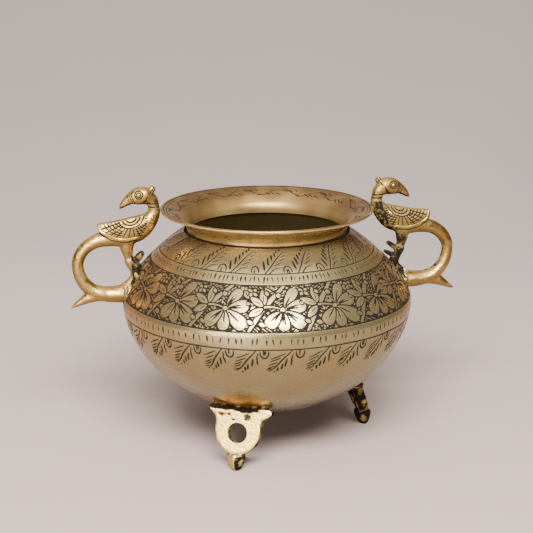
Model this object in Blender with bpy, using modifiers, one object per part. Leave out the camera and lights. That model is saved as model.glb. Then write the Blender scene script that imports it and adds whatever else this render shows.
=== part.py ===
"""Brass urli bowl: a squat turned bowl with a flared collar, two cast peacock handles and three pierced feet.

Metres, +Z up. The origin is on the ground under the bowl's axis, and the handles stand along the X axis.
The bowl is two brass shells brazed at the belly, with the collar brazed to the shoulder. Each handle and each
foot is one casting, held by a lump of braze.
"""

from math import cos, pi, radians, sin

import bmesh
import bpy
from mathutils import Vector

# Driving dimensions of the bowl
BELLY_RADIUS = 0.090
BELLY_HEIGHT = 0.091
LOWER_DEPTH = 0.0717
LOWER_POWER = 1.86
UPPER_RISE = 0.0643
UPPER_POWER = 1.453
WALL = 0.0020
SEAM_HEIGHT = 0.0946
NECK_RADIUS = 0.0497
RIM_RADIUS = 0.0649
RIM_HEIGHT = 0.1471
COLLAR_WALL = 0.0017
LIP_ROUNDING = 0.0009
NECK_WAIST = 0.0004
JOINT_GAP = 0.0003
TURNED_STEPS = 48

# Feet: azimuth of each one about the bowl's axis, set by hand as the maker set them
FOOT_AZIMUTHS = {"front_left": -117.7, "right": 2.3, "rear_left": 111.0}
FOOT_CIRCLE = 0.0650
FOOT_LEAN = radians(18)
PLATE_BASE = 0.004
PLATE_RADIUS = 0.0140
PLATE_CENTRE = 0.0200
PLATE_TOP = 0.0314
PLATE_THICKNESS = 0.0060
PLATE_HOLE_RADIUS = 0.0060
PLATE_HOLE_CENTRE = 0.0185
EAR_REACH = 0.0186
TOE_STEPS = 16
FOOT_BRAZE_HALF_WIDTH = 0.0165
FOOT_BRAZE_TOP = 0.0440
FOOT_BRAZE_OVERHANG = 0.0008

# Handles: lateral thickness of the folded wings
WING_THICKNESS = 0.0116

BRASS = (0.62, 0.47, 0.22)
BRAZE = (0.16, 0.13, 0.10)


# Scene ---------------------------------------------------------------------------------------------------

def clear_scene():
    """Removes the objects that the file opens with."""
    for found in list(bpy.data.objects):
        bpy.data.objects.remove(found)


def new_collection(name):
    made = bpy.data.collections.new(name)
    bpy.context.scene.collection.children.link(made)
    return made


def metal(name, colour, roughness):
    made = bpy.data.materials.new(name)
    made.use_nodes = True
    shader = made.node_tree.nodes["Principled BSDF"]
    shader.inputs["Base Color"].default_value = (*colour, 1.0)
    shader.inputs["Metallic"].default_value = 1.0
    shader.inputs["Roughness"].default_value = roughness
    return made


def link(data, name, collection, parent=None):
    """A new object that holds the data, in the collection, placed under its parent."""
    made = bpy.data.objects.new(name, data)
    collection.objects.link(made)
    made.parent = parent
    return made


def as_helper(obj):
    """Keeps a cutter or a joined shape out of the model."""
    obj.hide_render = True
    obj.display_type = "WIRE"
    return obj


def shade(obj, material, angle=radians(40)):
    obj.data.materials.append(material)
    obj.data.shade_smooth()
    obj.data.set_sharp_from_angle(angle=angle)


def combine(obj, operation, helper):
    step = obj.modifiers.new(f"{operation.lower()}_{helper.name}", "BOOLEAN")
    step.operation = operation
    step.object = helper
    step.solver = "EXACT"


# Profiles of the bowl --------------------------------------------------------------------------------------

def outer_radius(height):
    """Outside radius of the bowl at a height: one superellipse under the belly and one over it."""
    if height <= BELLY_HEIGHT:
        share, power = (BELLY_HEIGHT - height) / LOWER_DEPTH, LOWER_POWER
    else:
        share, power = (height - BELLY_HEIGHT) / UPPER_RISE, UPPER_POWER
    return BELLY_RADIUS * max(0.0, 1 - min(1.0, share) ** power) ** (1 / power)


def outer_height(radius, lower):
    """Height of the outside surface at a radius, under or over the belly."""
    power, reach = (LOWER_POWER, -LOWER_DEPTH) if lower else (UPPER_POWER, UPPER_RISE)
    return BELLY_HEIGHT + reach * (1 - (radius / BELLY_RADIUS) ** power) ** (1 / power)


def lower_arc(count):
    """Outside points of the lower bowl, from the seam down to the axis."""
    lip = [(outer_radius(SEAM_HEIGHT), SEAM_HEIGHT), (BELLY_RADIUS, BELLY_HEIGHT)]
    angles = [pi / 2 * step / count for step in range(1, count)]
    radii = [BELLY_RADIUS * cos(angle) ** (2 / LOWER_POWER) for angle in angles]
    curve = [(radius, outer_height(radius, True)) for radius in radii]
    return [*lip, *curve, (0.0, BELLY_HEIGHT - LOWER_DEPTH)]


def shoulder_arc(count):
    """Outside points of the shoulder, from the neck down to the seam."""
    neck = outer_height(NECK_RADIUS, False)
    heights = [neck + (SEAM_HEIGHT - neck) * step / count for step in range(count + 1)]
    return [(outer_radius(height), height) for height in heights]


def offset(points, distance):
    """The polyline moved sideways, towards its outer side where distance is above zero."""
    moved = []
    for index, (radius, height) in enumerate(points):
        before = Vector(points[max(index - 1, 0)])
        after = Vector(points[min(index + 1, len(points) - 1)])
        along = (after - before).normalized()
        moved.append((radius - along.y * distance, height + along.x * distance))
    return moved


def turned(name, points, closed, collection, steps=TURNED_STEPS, parent=None):
    """A solid of revolution about Z. The points run down the outer side."""
    mesh = bpy.data.meshes.new(name)
    count = len(points)
    edges = [(index, (index + 1) % count) for index in range(count if closed else count - 1)]
    mesh.from_pydata([(radius, 0, height) for radius, height in points], edges, [])
    obj = link(mesh, name, collection, parent)
    screw = obj.modifiers.new("turn", "SCREW")
    screw.axis = "Z"
    screw.steps = screw.render_steps = steps
    screw.use_merge_vertices = True
    screw.merge_threshold = 0.00001
    screw.use_smooth_shade = True
    return obj


def flattened(points, height):
    """The points with the first one set on a level joint face at that height."""
    return [(points[0][0], height), *points[1:]]


def lower_bowl(parts, material):
    outer = flattened(lower_arc(11), SEAM_HEIGHT - JOINT_GAP / 2)
    inner = offset(lower_arc(11), -WALL)
    inner[-1] = (0.0, BELLY_HEIGHT - LOWER_DEPTH + WALL)
    inner = flattened(inner, SEAM_HEIGHT - JOINT_GAP / 2)
    obj = turned("lower_bowl", inner[::-1] + outer, False, parts)
    obj.data.materials.append(material)


def shoulder_shell(parts, material):
    outer = shoulder_arc(6)
    inner = offset(outer, -WALL)
    top, foot = outer[0][1] - JOINT_GAP, SEAM_HEIGHT + JOINT_GAP / 2
    outer = flattened(outer, top)
    inner = flattened(inner, top)
    outer[-1] = (outer[-1][0], foot)
    inner[-1] = (inner[-1][0], foot)
    obj = turned("shoulder_shell", outer + inner[::-1], True, parts)
    obj.data.materials.append(material)


def collar_arc(count):
    """Outside points of the collar, from its lip down to the neck: a short waist that flares into the rim."""
    base = outer_height(NECK_RADIUS, False)
    points = []
    for step in range(count + 1):
        share = 1 - step / count
        flare = (RIM_RADIUS - NECK_RADIUS) * share ** 1.8 - NECK_WAIST * sin(pi * min(1.0, share * 2.5))
        points.append((NECK_RADIUS + flare, base + (RIM_HEIGHT - LIP_ROUNDING - base) * share ** 0.8))
    return points


def rim_collar(parts, material):
    outer = collar_arc(7)
    inner = offset(outer, -COLLAR_WALL)
    lip = (RIM_RADIUS - LIP_ROUNDING / 3, RIM_HEIGHT)
    inner[0] = (inner[0][0], RIM_HEIGHT - LIP_ROUNDING / 4)
    inner[-1] = (inner[-1][0], outer[-1][1])
    obj = turned("rim_collar", [lip, *outer, *inner[::-1]], True, parts)
    obj.data.materials.append(material)


def bowl_envelope(cutters):
    """The outside of the bowl with the joint gap added, as a solid that trims what is brazed to it."""
    outside = offset(shoulder_arc(8) + lower_arc(14)[1:], JOINT_GAP)
    outside[-1] = (0.0, outside[-1][1])
    obj = turned("bowl_envelope", [(0.0, outside[0][1]), *outside], False, cutters)
    return as_helper(obj)


# Feet ------------------------------------------------------------------------------------------------------

def arc(centre, radius, start, stop, count):
    """Points along an arc, angles in degrees."""
    angles = [radians(start + (stop - start) * step / count) for step in range(count + 1)]
    return [(centre[0] + radius * cos(angle), centre[1] + radius * sin(angle)) for angle in angles]


def flat_shape(name, outlines, thickness, collection):
    """A flat outline with its holes, extruded to a thickness, as a closed mesh object."""
    curve = bpy.data.curves.new(name, "CURVE")
    curve.dimensions = "2D"
    curve.fill_mode = "BOTH"
    curve.extrude = thickness / 2
    for outline in outlines:
        spline = curve.splines.new("POLY")
        spline.points.add(len(outline) - 1)
        for point, (across, up) in zip(spline.points, outline):
            point.co = (across, up, 0, 1)
        spline.use_cyclic_u = True
    return meshed(link(curve, name, collection), collection)


def meshed(curve_object, collection):
    """The curve's surface as a mesh object of the same name and place, with its caps welded."""
    bpy.context.view_layer.update()
    graph = bpy.context.evaluated_depsgraph_get()
    mesh = bpy.data.meshes.new_from_object(curve_object.evaluated_get(graph))
    shape = bmesh.new()
    shape.from_mesh(mesh)
    bmesh.ops.remove_doubles(shape, verts=shape.verts, dist=0.000005)
    bmesh.ops.recalc_face_normals(shape, faces=shape.faces)
    shape.to_mesh(mesh)
    shape.free()
    name, place = curve_object.name, curve_object.matrix_world.copy()
    bpy.data.objects.remove(curve_object)
    made = link(mesh, name, collection)
    made.matrix_world = place
    return made


def plate_outline():
    """Outline of a foot's plate: a round tab that widens into two ears under the belly."""
    right = arc((0, PLATE_CENTRE), PLATE_RADIUS, -90, 0, 7)
    right += [(PLATE_RADIUS, 0.0272), (0.0160, 0.0286), (EAR_REACH, 0.0303), (0.0180, PLATE_TOP)]
    left = [(-across, up) for across, up in right[:0:-1]]
    return right + left


def foot_frame(place, azimuth):
    """The empty that carries a foot: under the toe, with its X axis pointing away from the bowl."""
    frame = link(None, f"foot_{place}_frame", bpy.context.scene.collection)
    frame.location = (FOOT_CIRCLE * cos(azimuth), FOOT_CIRCLE * sin(azimuth), 0)
    frame.rotation_euler = (0, 0, azimuth)
    return frame


def lean(obj, frame):
    """Stands a flat shape up in the leaning plane of the foot."""
    obj.parent = frame
    obj.rotation_euler = (pi / 2 - FOOT_LEAN, 0, pi / 2)
    obj.location = (0, 0, PLATE_BASE)


def toe_profile():
    """The toe bud, from its top inside the plate down to the flat that stands on the ground."""
    return [(0, 0.0120), (0.0036, 0.0120), (0.0042, 0.0098), (0.0051, 0.0070), (0.0050, 0.0042),
            (0.0038, 0.0016), (0.0024, 0), (0, 0)]


def foot(place, azimuth, envelope, parts, cutters, brass, braze):
    frame = foot_frame(place, radians(azimuth))
    hole = arc((0, PLATE_HOLE_CENTRE), PLATE_HOLE_RADIUS, 0, 360, 20)[:-1]
    plate = flat_shape(f"foot_{place}", [plate_outline(), hole], PLATE_THICKNESS, parts)
    lean(plate, frame)
    shade(plate, brass)
    toe = as_helper(turned(f"toe_{place}", toe_profile(), False, cutters, TOE_STEPS, frame))
    combine(plate, "UNION", toe)

    half, base, top = FOOT_BRAZE_HALF_WIDTH, PLATE_TOP + JOINT_GAP, FOOT_BRAZE_TOP
    block = [(-half, base), (half, base), (half, top), (-half, top)]
    pad = flat_shape(f"foot_braze_{place}", [block], PLATE_THICKNESS + 2 * FOOT_BRAZE_OVERHANG, parts)
    lean(pad, frame)
    shade(pad, braze)
    combine(pad, "DIFFERENCE", envelope)


# Peacock handles -------------------------------------------------------------------------------------------
# Points are (distance from the bowl's axis, height, radius) in the upright plane of the handle.

NECK = [(0.0760, 0.1378, 0.0052), (0.0718, 0.1425, 0.0046), (0.0700, 0.1480, 0.0035),
        (0.0702, 0.1530, 0.0037), (0.0735, 0.1572, 0.0044)]
TAIL = [(0.0900, 0.1320, 0.0052), (0.0985, 0.1322, 0.0050), (0.1060, 0.1303, 0.0042),
        (0.1122, 0.1266, 0.0039), (0.1160, 0.1208, 0.0037), (0.1168, 0.1155, 0.0036),
        (0.1156, 0.1095, 0.0037), (0.1128, 0.1043, 0.0040), (0.1078, 0.0995, 0.0044),
        (0.1010, 0.0974, 0.0048), (0.0945, 0.0970, 0.0053), (0.0840, 0.0972, 0.0058)]
SPUR = [(0.1050, 0.0968, 0.0034), (0.1125, 0.0952, 0.0030), (0.1175, 0.0924, 0.0018),
        (0.1217, 0.0897, 0.0004)]
LEG = [(0.0868, 0.1300, 0.0040), (0.0866, 0.1235, 0.0036), (0.0856, 0.1180, 0.0030),
       (0.0838, 0.1130, 0.0023), (0.0815, 0.1080, 0.0022), (0.0790, 0.1040, 0.0024)]
UPPER_CLAW = [(0.0850, 0.1172, 0.0020), (0.0815, 0.1190, 0.0018), (0.0775, 0.1209, 0.0012)]
LOWER_CLAW = [(0.0838, 0.1128, 0.0018), (0.0800, 0.1146, 0.0016), (0.0765, 0.1163, 0.0011)]
CLAW_SPREAD = 0.0022
BODY_CENTRE, BODY_HALF = (0.0815, 0.1352), (0.0130, 0.0056, 0.0080)
HEAD_CENTRE, HEAD_HALF = (0.0783, 0.1578), (0.0062, 0.0047, 0.0054)
BEAK_ROOT, BEAK_TIP, BEAK_RADIUS = (0.0815, 0.1566), (0.0902, 0.1508), 0.0040
CREST_CENTRE, CREST_RADIUS = (0.0718, 0.1614), 0.0026
# Braze lumps: centre (out, up), half sizes (out, across, up) and slope
TAIL_BRAZE = ((0.0885, 0.0970), (0.0026, 0.0078, 0.0076), 0)
PERCH_BRAZE = ((0.0812, 0.1078), (0.0022, 0.0046, 0.0044), radians(-35))


def tube(name, points, collection, frame, sideways=0.0, extra=0.0):
    """A round bar along a smooth curve through the points, each with its own radius, as a closed mesh."""
    curve = bpy.data.curves.new(name, "CURVE")
    curve.dimensions = "3D"
    curve.resolution_u = 3
    curve.bevel_depth = 1.0
    curve.bevel_resolution = 3
    curve.use_fill_caps = True
    spline = curve.splines.new("BEZIER")
    spline.bezier_points.add(len(points) - 1)
    for index, (point, (out, up, radius)) in enumerate(zip(spline.bezier_points, points)):
        point.co = (out, sideways * index / (len(points) - 1), up)
        point.handle_left_type = point.handle_right_type = "AUTO"
        point.radius = radius + extra
    made = meshed(link(curve, name, collection), collection)
    made.parent = frame
    return made


def ellipsoid(name, centre, half_sizes, collection, frame, tilt=0.0, segments=16, rings=10):
    """A closed egg shape, its length tilted down at its far end."""
    mesh = bpy.data.meshes.new(name)
    shape = bmesh.new()
    bmesh.ops.create_uvsphere(shape, u_segments=segments, v_segments=rings, radius=1.0)
    bmesh.ops.scale(shape, vec=half_sizes, verts=shape.verts)
    shape.to_mesh(mesh)
    shape.free()
    made = link(mesh, name, collection, frame)
    made.location = (centre[0], 0, centre[1])
    made.rotation_euler = (0, tilt, 0)
    return made


def beak(name, collection, frame):
    """A blunt cone from the face to the beak's tip."""
    root, tip = (Vector((out, 0, up)) for out, up in (BEAK_ROOT, BEAK_TIP))
    mesh = bpy.data.meshes.new(name)
    shape = bmesh.new()
    bmesh.ops.create_cone(shape, cap_ends=True, segments=12, radius1=BEAK_RADIUS, radius2=0.0005,
                          depth=(tip - root).length)
    shape.to_mesh(mesh)
    shape.free()
    made = link(mesh, name, collection, frame)
    made.location = (root + tip) / 2
    made.rotation_mode = "QUATERNION"
    made.rotation_quaternion = (tip - root).to_track_quat("Z", "Y")
    return made


def wing_outline():
    """Side outline of the folded wings: a nearly straight back over a deep curved lower edge."""
    back = [(0.1035, 0.1415), (0.0905, 0.1428), (0.0770, 0.1452)]
    front = [(0.0738, 0.1432), (0.0745, 0.1380), (0.0785, 0.1338), (0.0850, 0.1313), (0.0910, 0.1312),
             (0.0965, 0.1328), (0.1010, 0.1352), (0.1042, 0.1385)]
    return back + front


def handle(side, turn, envelope, parts, cutters, brass, braze):
    """One handle casting, with the two lumps of braze that hold its tail and its perch."""
    frame = link(None, f"{side}_handle_frame", bpy.context.scene.collection)
    frame.rotation_euler = (0, 0, turn)

    wings = flat_shape(f"{side}_peacock_handle", [wing_outline()], WING_THICKNESS, parts)
    wings.parent = frame
    wings.rotation_euler = (pi / 2, 0, 0)
    shade(wings, brass)
    pieces = [
        ellipsoid(f"{side}_body", BODY_CENTRE, BODY_HALF, cutters, frame, radians(8), 18, 12),
        tube(f"{side}_neck", NECK, cutters, frame),
        ellipsoid(f"{side}_head", HEAD_CENTRE, HEAD_HALF, cutters, frame, radians(20)),
        beak(f"{side}_beak", cutters, frame),
        ellipsoid(f"{side}_crest", CREST_CENTRE, (CREST_RADIUS,) * 3, cutters, frame, 0, 10, 6),
        tube(f"{side}_tail", TAIL, cutters, frame),
        tube(f"{side}_spur", SPUR, cutters, frame),
        tube(f"{side}_leg", LEG, cutters, frame),
        tube(f"{side}_upper_claw", UPPER_CLAW, cutters, frame, -CLAW_SPREAD),
        tube(f"{side}_lower_claw", LOWER_CLAW, cutters, frame, CLAW_SPREAD),
    ]
    for piece in pieces:
        combine(wings, "UNION", as_helper(piece))
    combine(wings, "DIFFERENCE", envelope)

    for name, bar, (centre, half, slope) in (("tail", TAIL[-4:], TAIL_BRAZE), ("perch", LEG, PERCH_BRAZE)):
        clearance = as_helper(tube(f"{side}_{name}_clearance", bar, cutters, frame, 0, JOINT_GAP))
        lump = ellipsoid(f"{side}_{name}_braze", centre, half, parts, frame, slope, 16, 10)
        shade(lump, braze)
        combine(lump, "DIFFERENCE", envelope)
        combine(lump, "DIFFERENCE", clearance)


def main():
    clear_scene()
    parts = new_collection("brass_urli_bowl")
    cutters = new_collection("cutters")
    brass = metal("brass", BRASS, 0.3)
    braze = metal("braze", BRAZE, 0.6)
    lower_bowl(parts, brass)
    shoulder_shell(parts, brass)
    rim_collar(parts, brass)
    envelope = bowl_envelope(cutters)
    for place, azimuth in FOOT_AZIMUTHS.items():
        foot(place, azimuth, envelope, parts, cutters, brass, braze)
    for side, turn in (("right", 0.0), ("left", pi)):
        handle(side, turn, envelope, parts, cutters, brass, braze)


main()
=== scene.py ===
"""Looks of a brass urli bowl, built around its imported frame.

The turned bowl is remade as six engraved bands and a flared collar, the two peacock handles and the three
feet as castings, and the braze that holds them as rough lumps. Lengths inside the classes are in millimetres,
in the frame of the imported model: the bowl's axis is Z, the ground is at zero and the handles stand along X.
"""

import logging
from dataclasses import dataclass, field
from enum import Enum
from itertools import pairwise
from math import cos, pi, radians, sin, tau

import bpy
import numpy as np
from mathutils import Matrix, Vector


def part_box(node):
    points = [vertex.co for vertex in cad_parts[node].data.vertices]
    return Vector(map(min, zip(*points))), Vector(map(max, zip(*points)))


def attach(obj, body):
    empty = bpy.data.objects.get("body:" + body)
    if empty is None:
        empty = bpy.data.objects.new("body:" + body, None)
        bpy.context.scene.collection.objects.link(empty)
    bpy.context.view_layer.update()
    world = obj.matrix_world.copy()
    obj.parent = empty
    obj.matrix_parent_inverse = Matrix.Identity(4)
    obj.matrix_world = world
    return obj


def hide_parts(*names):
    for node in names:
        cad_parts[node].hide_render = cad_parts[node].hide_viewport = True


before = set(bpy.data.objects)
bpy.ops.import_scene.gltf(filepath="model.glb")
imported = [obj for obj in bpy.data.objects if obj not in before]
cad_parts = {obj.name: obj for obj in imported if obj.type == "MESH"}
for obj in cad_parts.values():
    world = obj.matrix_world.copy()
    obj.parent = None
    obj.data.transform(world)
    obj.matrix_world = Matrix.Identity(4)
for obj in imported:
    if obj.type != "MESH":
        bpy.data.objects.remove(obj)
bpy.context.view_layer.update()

import openvdb
from mathutils import Vector

MM = 0.001
POLE = 0.02  # radius at which the closed bottom ends, in millimetres
SHELL_SEAM = 94.6  # height at which the two shells of the bowl meet
TURNED_CREASE = 60
CAST_CREASE = 75
BRAZE_PITCH = 0.32
VIEW_TURN = radians(-10.97)
FAR_AWAY = 1e9
log = logging.getLogger("urli")


# Small helpers --------------------------------------------------------------------------------------------

def smooth(low: float, high: float, value: np.ndarray) -> np.ndarray:
    """A soft step.

    Args:
        low: value that gives 0.
        high: value that gives 1.
        value: numbers to map.

    Returns:
        Numbers from 0 to 1 of the same shape.
    """
    share = np.clip((value - low) / (high - low), 0.0, 1.0)
    return share * share * (3.0 - 2.0 * share)


def curved(points: list[tuple[float, ...]], count: int) -> np.ndarray:
    """A smooth line through given points.

    Args:
        points: points of any dimension, in order.
        count: number of points to return.

    Returns:
        Points of a Catmull-Rom curve, evenly spaced in its parameter.
    """
    knots = np.array(points, float)
    knots = np.vstack([2 * knots[0] - knots[1], knots, 2 * knots[-1] - knots[-2]])
    place = np.linspace(0, len(points) - 1, count)
    first = np.minimum(place.astype(int), len(points) - 2)
    share = (place - first)[:, None]
    before, start, stop, after = (knots[first + step] for step in range(4))
    return 0.5 * (
        2 * start
        + (stop - before) * share
        + (2 * before - 5 * start + 4 * stop - after) * share**2
        + (3 * start - before - 3 * stop + after) * share**3
    )


@dataclass(frozen=True)
class Waviness:
    """A smooth random field in space, for dents and uneven casting, as a sum of seeded plane waves."""

    seed: int
    shortest: float
    longest: float
    waves: int = 28

    def at(self, points: np.ndarray) -> np.ndarray:
        """Value of the field.

        Args:
            points: array of points, in millimetres, with x, y, z on its last axis.

        Returns:
            Values of about -1 to 1, one for each point.
        """
        rng = np.random.default_rng(self.seed)
        total = np.zeros(points.shape[:-1])
        for _ in range(self.waves):
            way = rng.normal(size=3)
            way /= np.linalg.norm(way)
            length = rng.uniform(self.shortest, self.longest)
            total += np.sin(points @ (way * tau / length) + rng.uniform(0, tau))
        return total / (self.waves / 2) ** 0.5 / 1.6


def to_segment(across: np.ndarray, up: np.ndarray, start: np.ndarray, stop: np.ndarray) -> tuple:
    """Distance from flat points to a straight segment.

    Args:
        across: first coordinate of each point.
        up: second coordinate of each point.
        start: first end of the segment.
        stop: its other end.

    Returns:
        The share of the way along the segment where it is nearest, and the distance to there.
    """
    along = stop - start
    size = max(float(along @ along), 1e-9)
    share = np.clip(((across - start[0]) * along[0] + (up - start[1]) * along[1]) / size, 0, 1)
    return share, np.hypot(across - start[0] - share * along[0], up - start[1] - share * along[1])


def box_round(line: np.ndarray, reach: float) -> tuple[float, float, float, float]:
    """Left, right, low and high edges of a flat line's box, with a margin."""
    (left, low), (right, high) = line.min(axis=0) - reach, line.max(axis=0) + reach
    return left, right, low, high


def spun(points: np.ndarray, turn: float) -> np.ndarray:
    """Points turned about the bowl's axis by an angle in radians."""
    return np.c_[points[:, 0] * cos(turn) - points[:, 1] * sin(turn),
                 points[:, 0] * sin(turn) + points[:, 1] * cos(turn), points[:, 2]]


def mesh_piece(name: str, points: np.ndarray, faces: np.ndarray, masks: dict[str, np.ndarray],
               finish: "Finish", replaced: tuple[str, ...], crease: float) -> None:
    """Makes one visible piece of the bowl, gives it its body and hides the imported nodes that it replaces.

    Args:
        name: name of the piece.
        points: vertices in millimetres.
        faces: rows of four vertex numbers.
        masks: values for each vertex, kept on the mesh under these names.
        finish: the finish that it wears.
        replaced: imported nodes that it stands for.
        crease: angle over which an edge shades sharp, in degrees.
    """
    mesh = bpy.data.meshes.new(name)
    mesh.vertices.add(len(points))
    mesh.vertices.foreach_set("co", (points * MM).astype(np.float32).ravel())
    mesh.loops.add(faces.size)
    mesh.loops.foreach_set("vertex_index", faces.ravel().astype(np.int32))
    mesh.polygons.add(len(faces))
    mesh.polygons.foreach_set("loop_start", np.arange(0, faces.size, 4, dtype=np.int32))
    mesh.update(calc_edges=True)
    mesh.validate()
    for mask, values in masks.items():
        layer = mesh.attributes.new(mask, "FLOAT", "POINT")
        layer.data.foreach_set("value", values.astype(np.float32).ravel())
    mesh.shade_smooth()
    mesh.set_sharp_from_angle(angle=radians(crease))
    mesh.materials.append(finish.material())
    piece = bpy.data.objects.new(name, mesh)
    bpy.context.scene.collection.objects.link(piece)
    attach(piece, "root")
    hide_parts(*replaced)
    log.info("%s: %d points", name, len(points))


# Node trees -----------------------------------------------------------------------------------------------

class Wiring:
    """Short ways to add and link nodes in one node tree."""

    def __init__(self, tree: bpy.types.NodeTree) -> None:
        """Keeps the tree."""
        self.tree = tree

    def node(self, kind: str, **settings: object) -> bpy.types.Node:
        """Adds a node.

        Args:
            kind: node type without its ShaderNode prefix.
            settings: properties to set on the node.

        Returns:
            The new node.
        """
        made = self.tree.nodes.new("ShaderNode" + kind)
        for key, value in settings.items():
            setattr(made, key, value)
        return made

    def feed(self, target: bpy.types.NodeSocket, source: object) -> None:
        """Links a socket to another one, or sets its value.

        Args:
            target: the socket that is fed.
            source: a socket or a plain value.
        """
        if isinstance(source, bpy.types.NodeSocket):
            self.tree.links.new(source, target)
        else:
            target.default_value = source

    def math(self, operation: str, first: object, second: object = 0.0) -> bpy.types.NodeSocket:
        """Adds a Math node.

        Args:
            operation: what it works out.
            first: its first number or socket.
            second: its second number or socket.

        Returns:
            The node's output.
        """
        made = self.node("Math", operation=operation)
        self.feed(made.inputs[0], first)
        self.feed(made.inputs[1], second)
        return made.outputs[0]

    def mix(self, share: object, first: object, second: object) -> bpy.types.NodeSocket:
        """Adds a colour Mix node.

        Args:
            share: how much of the second colour there is.
            first: the first colour or socket.
            second: the second colour or socket.

        Returns:
            The node's output.
        """
        made = self.node("Mix", data_type="RGBA")
        self.feed(made.inputs["Factor"], share)
        self.feed(made.inputs["A"], first)
        self.feed(made.inputs["B"], second)
        return made.outputs["Result"]

    def span(self, value: object, low: float, high: float, start: float, stop: float) -> bpy.types.NodeSocket:
        """Adds a Map Range node, smooth and clamped.

        Args:
            value: the socket to map.
            low: input that gives the start.
            high: input that gives the stop.
            start: output at the low end.
            stop: output at the high end.

        Returns:
            The node's output.
        """
        made = self.node("MapRange", interpolation_type="SMOOTHSTEP")
        for name, given in zip(("Value", "From Min", "From Max", "To Min", "To Max"),
                               (value, low, high, start, stop)):
            self.feed(made.inputs[name], given)
        return made.outputs["Result"]

    def noise(self, where: object, scale: float, detail: float = 3.0,
              rough: float = 0.55) -> bpy.types.NodeSocket:
        """Adds a Noise texture.

        Args:
            where: coordinates.
            scale: how fine it is.
            detail: number of finer layers.
            rough: strength of the finer layers.

        Returns:
            Its value, from 0 to 1.
        """
        made = self.node("TexNoise")
        self.feed(made.inputs["Vector"], where)
        self.feed(made.inputs["Scale"], scale)
        self.feed(made.inputs["Detail"], detail)
        self.feed(made.inputs["Roughness"], rough)
        return made.outputs["Fac"]

    def place(self, stretch: tuple[float, float, float] = (1, 1, 1)) -> bpy.types.NodeSocket:
        """Adds object coordinates, stretched along each axis.

        Args:
            stretch: factor for each axis.

        Returns:
            The coordinates.
        """
        coordinates = self.node("TexCoord")
        made = self.node("Mapping")
        self.feed(made.inputs["Vector"], coordinates.outputs["Object"])
        self.feed(made.inputs["Scale"], stretch)
        return made.outputs["Vector"]

    def mask(self, name: str) -> bpy.types.NodeSocket:
        """Value of a mask kept on the mesh."""
        return self.node("Attribute", attribute_name=name).outputs["Fac"]


def group(name: str, inputs: dict[str, str], outputs: dict[str, str]) -> tuple[Wiring, dict, dict] | None:
    """Starts a shared node group.

    Args:
        name: name of the group.
        inputs: name and socket kind of each input.
        outputs: name and socket kind of each output.

    Returns:
        The wiring, the input sockets and the output sockets, or None where the group was made before.
    """
    if name in bpy.data.node_groups:
        return None
    tree = bpy.data.node_groups.new(name, "ShaderNodeTree")
    for label, kind in inputs.items():
        tree.interface.new_socket(label, in_out="INPUT", socket_type="NodeSocket" + kind)
    for label, kind in outputs.items():
        tree.interface.new_socket(label, in_out="OUTPUT", socket_type="NodeSocket" + kind)
    wiring = Wiring(tree)
    entry = tree.nodes.new("NodeGroupInput")
    leave = tree.nodes.new("NodeGroupOutput")
    return wiring, entry.outputs, leave.inputs


def brass_tone() -> bpy.types.NodeTree:
    """Builds the group that colours aged brass: clouds, heat tint, dark patina in the cuts, and painted shade
    through the same masks.

    Returns:
        The node group.
    """
    colours = {name: "Color" for name in ("Clean", "Deep", "Heat Colour", "Patina Colour")}
    values = {name: "Float" for name in ("Patina", "Heat", "Cloud Size", "Clouding", "Metal")}
    outputs = {"Color": "Color", "Metallic": "Float", "Dullness": "Float"}
    begun = group("brass_tone", colours | values, outputs)
    if begun:
        wiring, given, out = begun
        cloud = wiring.noise(wiring.place(), given["Cloud Size"], 4.0, 0.6)
        share = wiring.math("MULTIPLY", wiring.span(cloud, 0.35, 0.68, 0.0, 1.0), given["Clouding"])
        metal = wiring.mix(share, given["Clean"], given["Deep"])
        # Heat tint; on the collar the same mask and colour lay painted shade inside the flare.
        heat_and_shade_tinted = wiring.mix(given["Heat"], metal, given["Heat Colour"])
        speck = wiring.noise(wiring.place(), 900.0, 2.0)
        # Dark patina, and painted shade where a mesh's mask holds it.
        broken = wiring.math("MULTIPLY", given["Patina"], wiring.span(speck, 0.25, 0.6, 0.92, 1.0))
        filled = wiring.math("MINIMUM", wiring.math("MULTIPLY", broken, 1.12), 1.0)
        wiring.feed(out["Color"], wiring.mix(filled, heat_and_shade_tinted, given["Patina Colour"]))
        bare = wiring.span(filled, 0.2, 1.0, 1.0, 0.0)
        wiring.feed(out["Metallic"], wiring.math("MULTIPLY", bare, given["Metal"]))
        dull = wiring.math("MULTIPLY", share, 0.08)
        wiring.feed(out["Dullness"], wiring.math("ADD", dull, wiring.math("MULTIPLY", filled, 0.42)))
    return bpy.data.node_groups["brass_tone"]


def hand_marks() -> bpy.types.NodeTree:
    """Builds the group that gives brushing, hammer marks and pits, as a height and a roughness.

    Returns:
        The node group.
    """
    inputs = {name: "Float" for name in ("Brushing", "Hammering", "Pitting")}
    begun = group("hand_marks", inputs, {"Height": "Float", "Roughness": "Float"})
    if begun:
        wiring, given, out = begun
        turned = wiring.noise(wiring.place((12, 12, 1500)), 1.0, 3.0, 0.7)
        crossed = wiring.noise(wiring.place((900, 900, 60)), 1.0, 2.0, 0.6)
        marks = wiring.math("ADD", turned, wiring.math("MULTIPLY", crossed, 0.35))
        brushed = wiring.math("MULTIPLY", marks, given["Brushing"])
        hammered = wiring.math("MULTIPLY", wiring.noise(wiring.place(), 90.0, 2.0), given["Hammering"])
        holes = wiring.span(wiring.noise(wiring.place(), 1300.0, 2.0), 0.3, 0.5, 0.0, 1.0)
        pits = wiring.math("MULTIPLY", holes, given["Pitting"])
        total = wiring.math("ADD", wiring.math("ADD", brushed, hammered), pits)
        wiring.feed(out["Height"], total)
        change = wiring.math("SUBTRACT", marks, 0.67)
        wiring.feed(out["Roughness"], wiring.math("MULTIPLY", change, given["Brushing"]))
    return bpy.data.node_groups["hand_marks"]


Colour = tuple[float, float, float]


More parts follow.
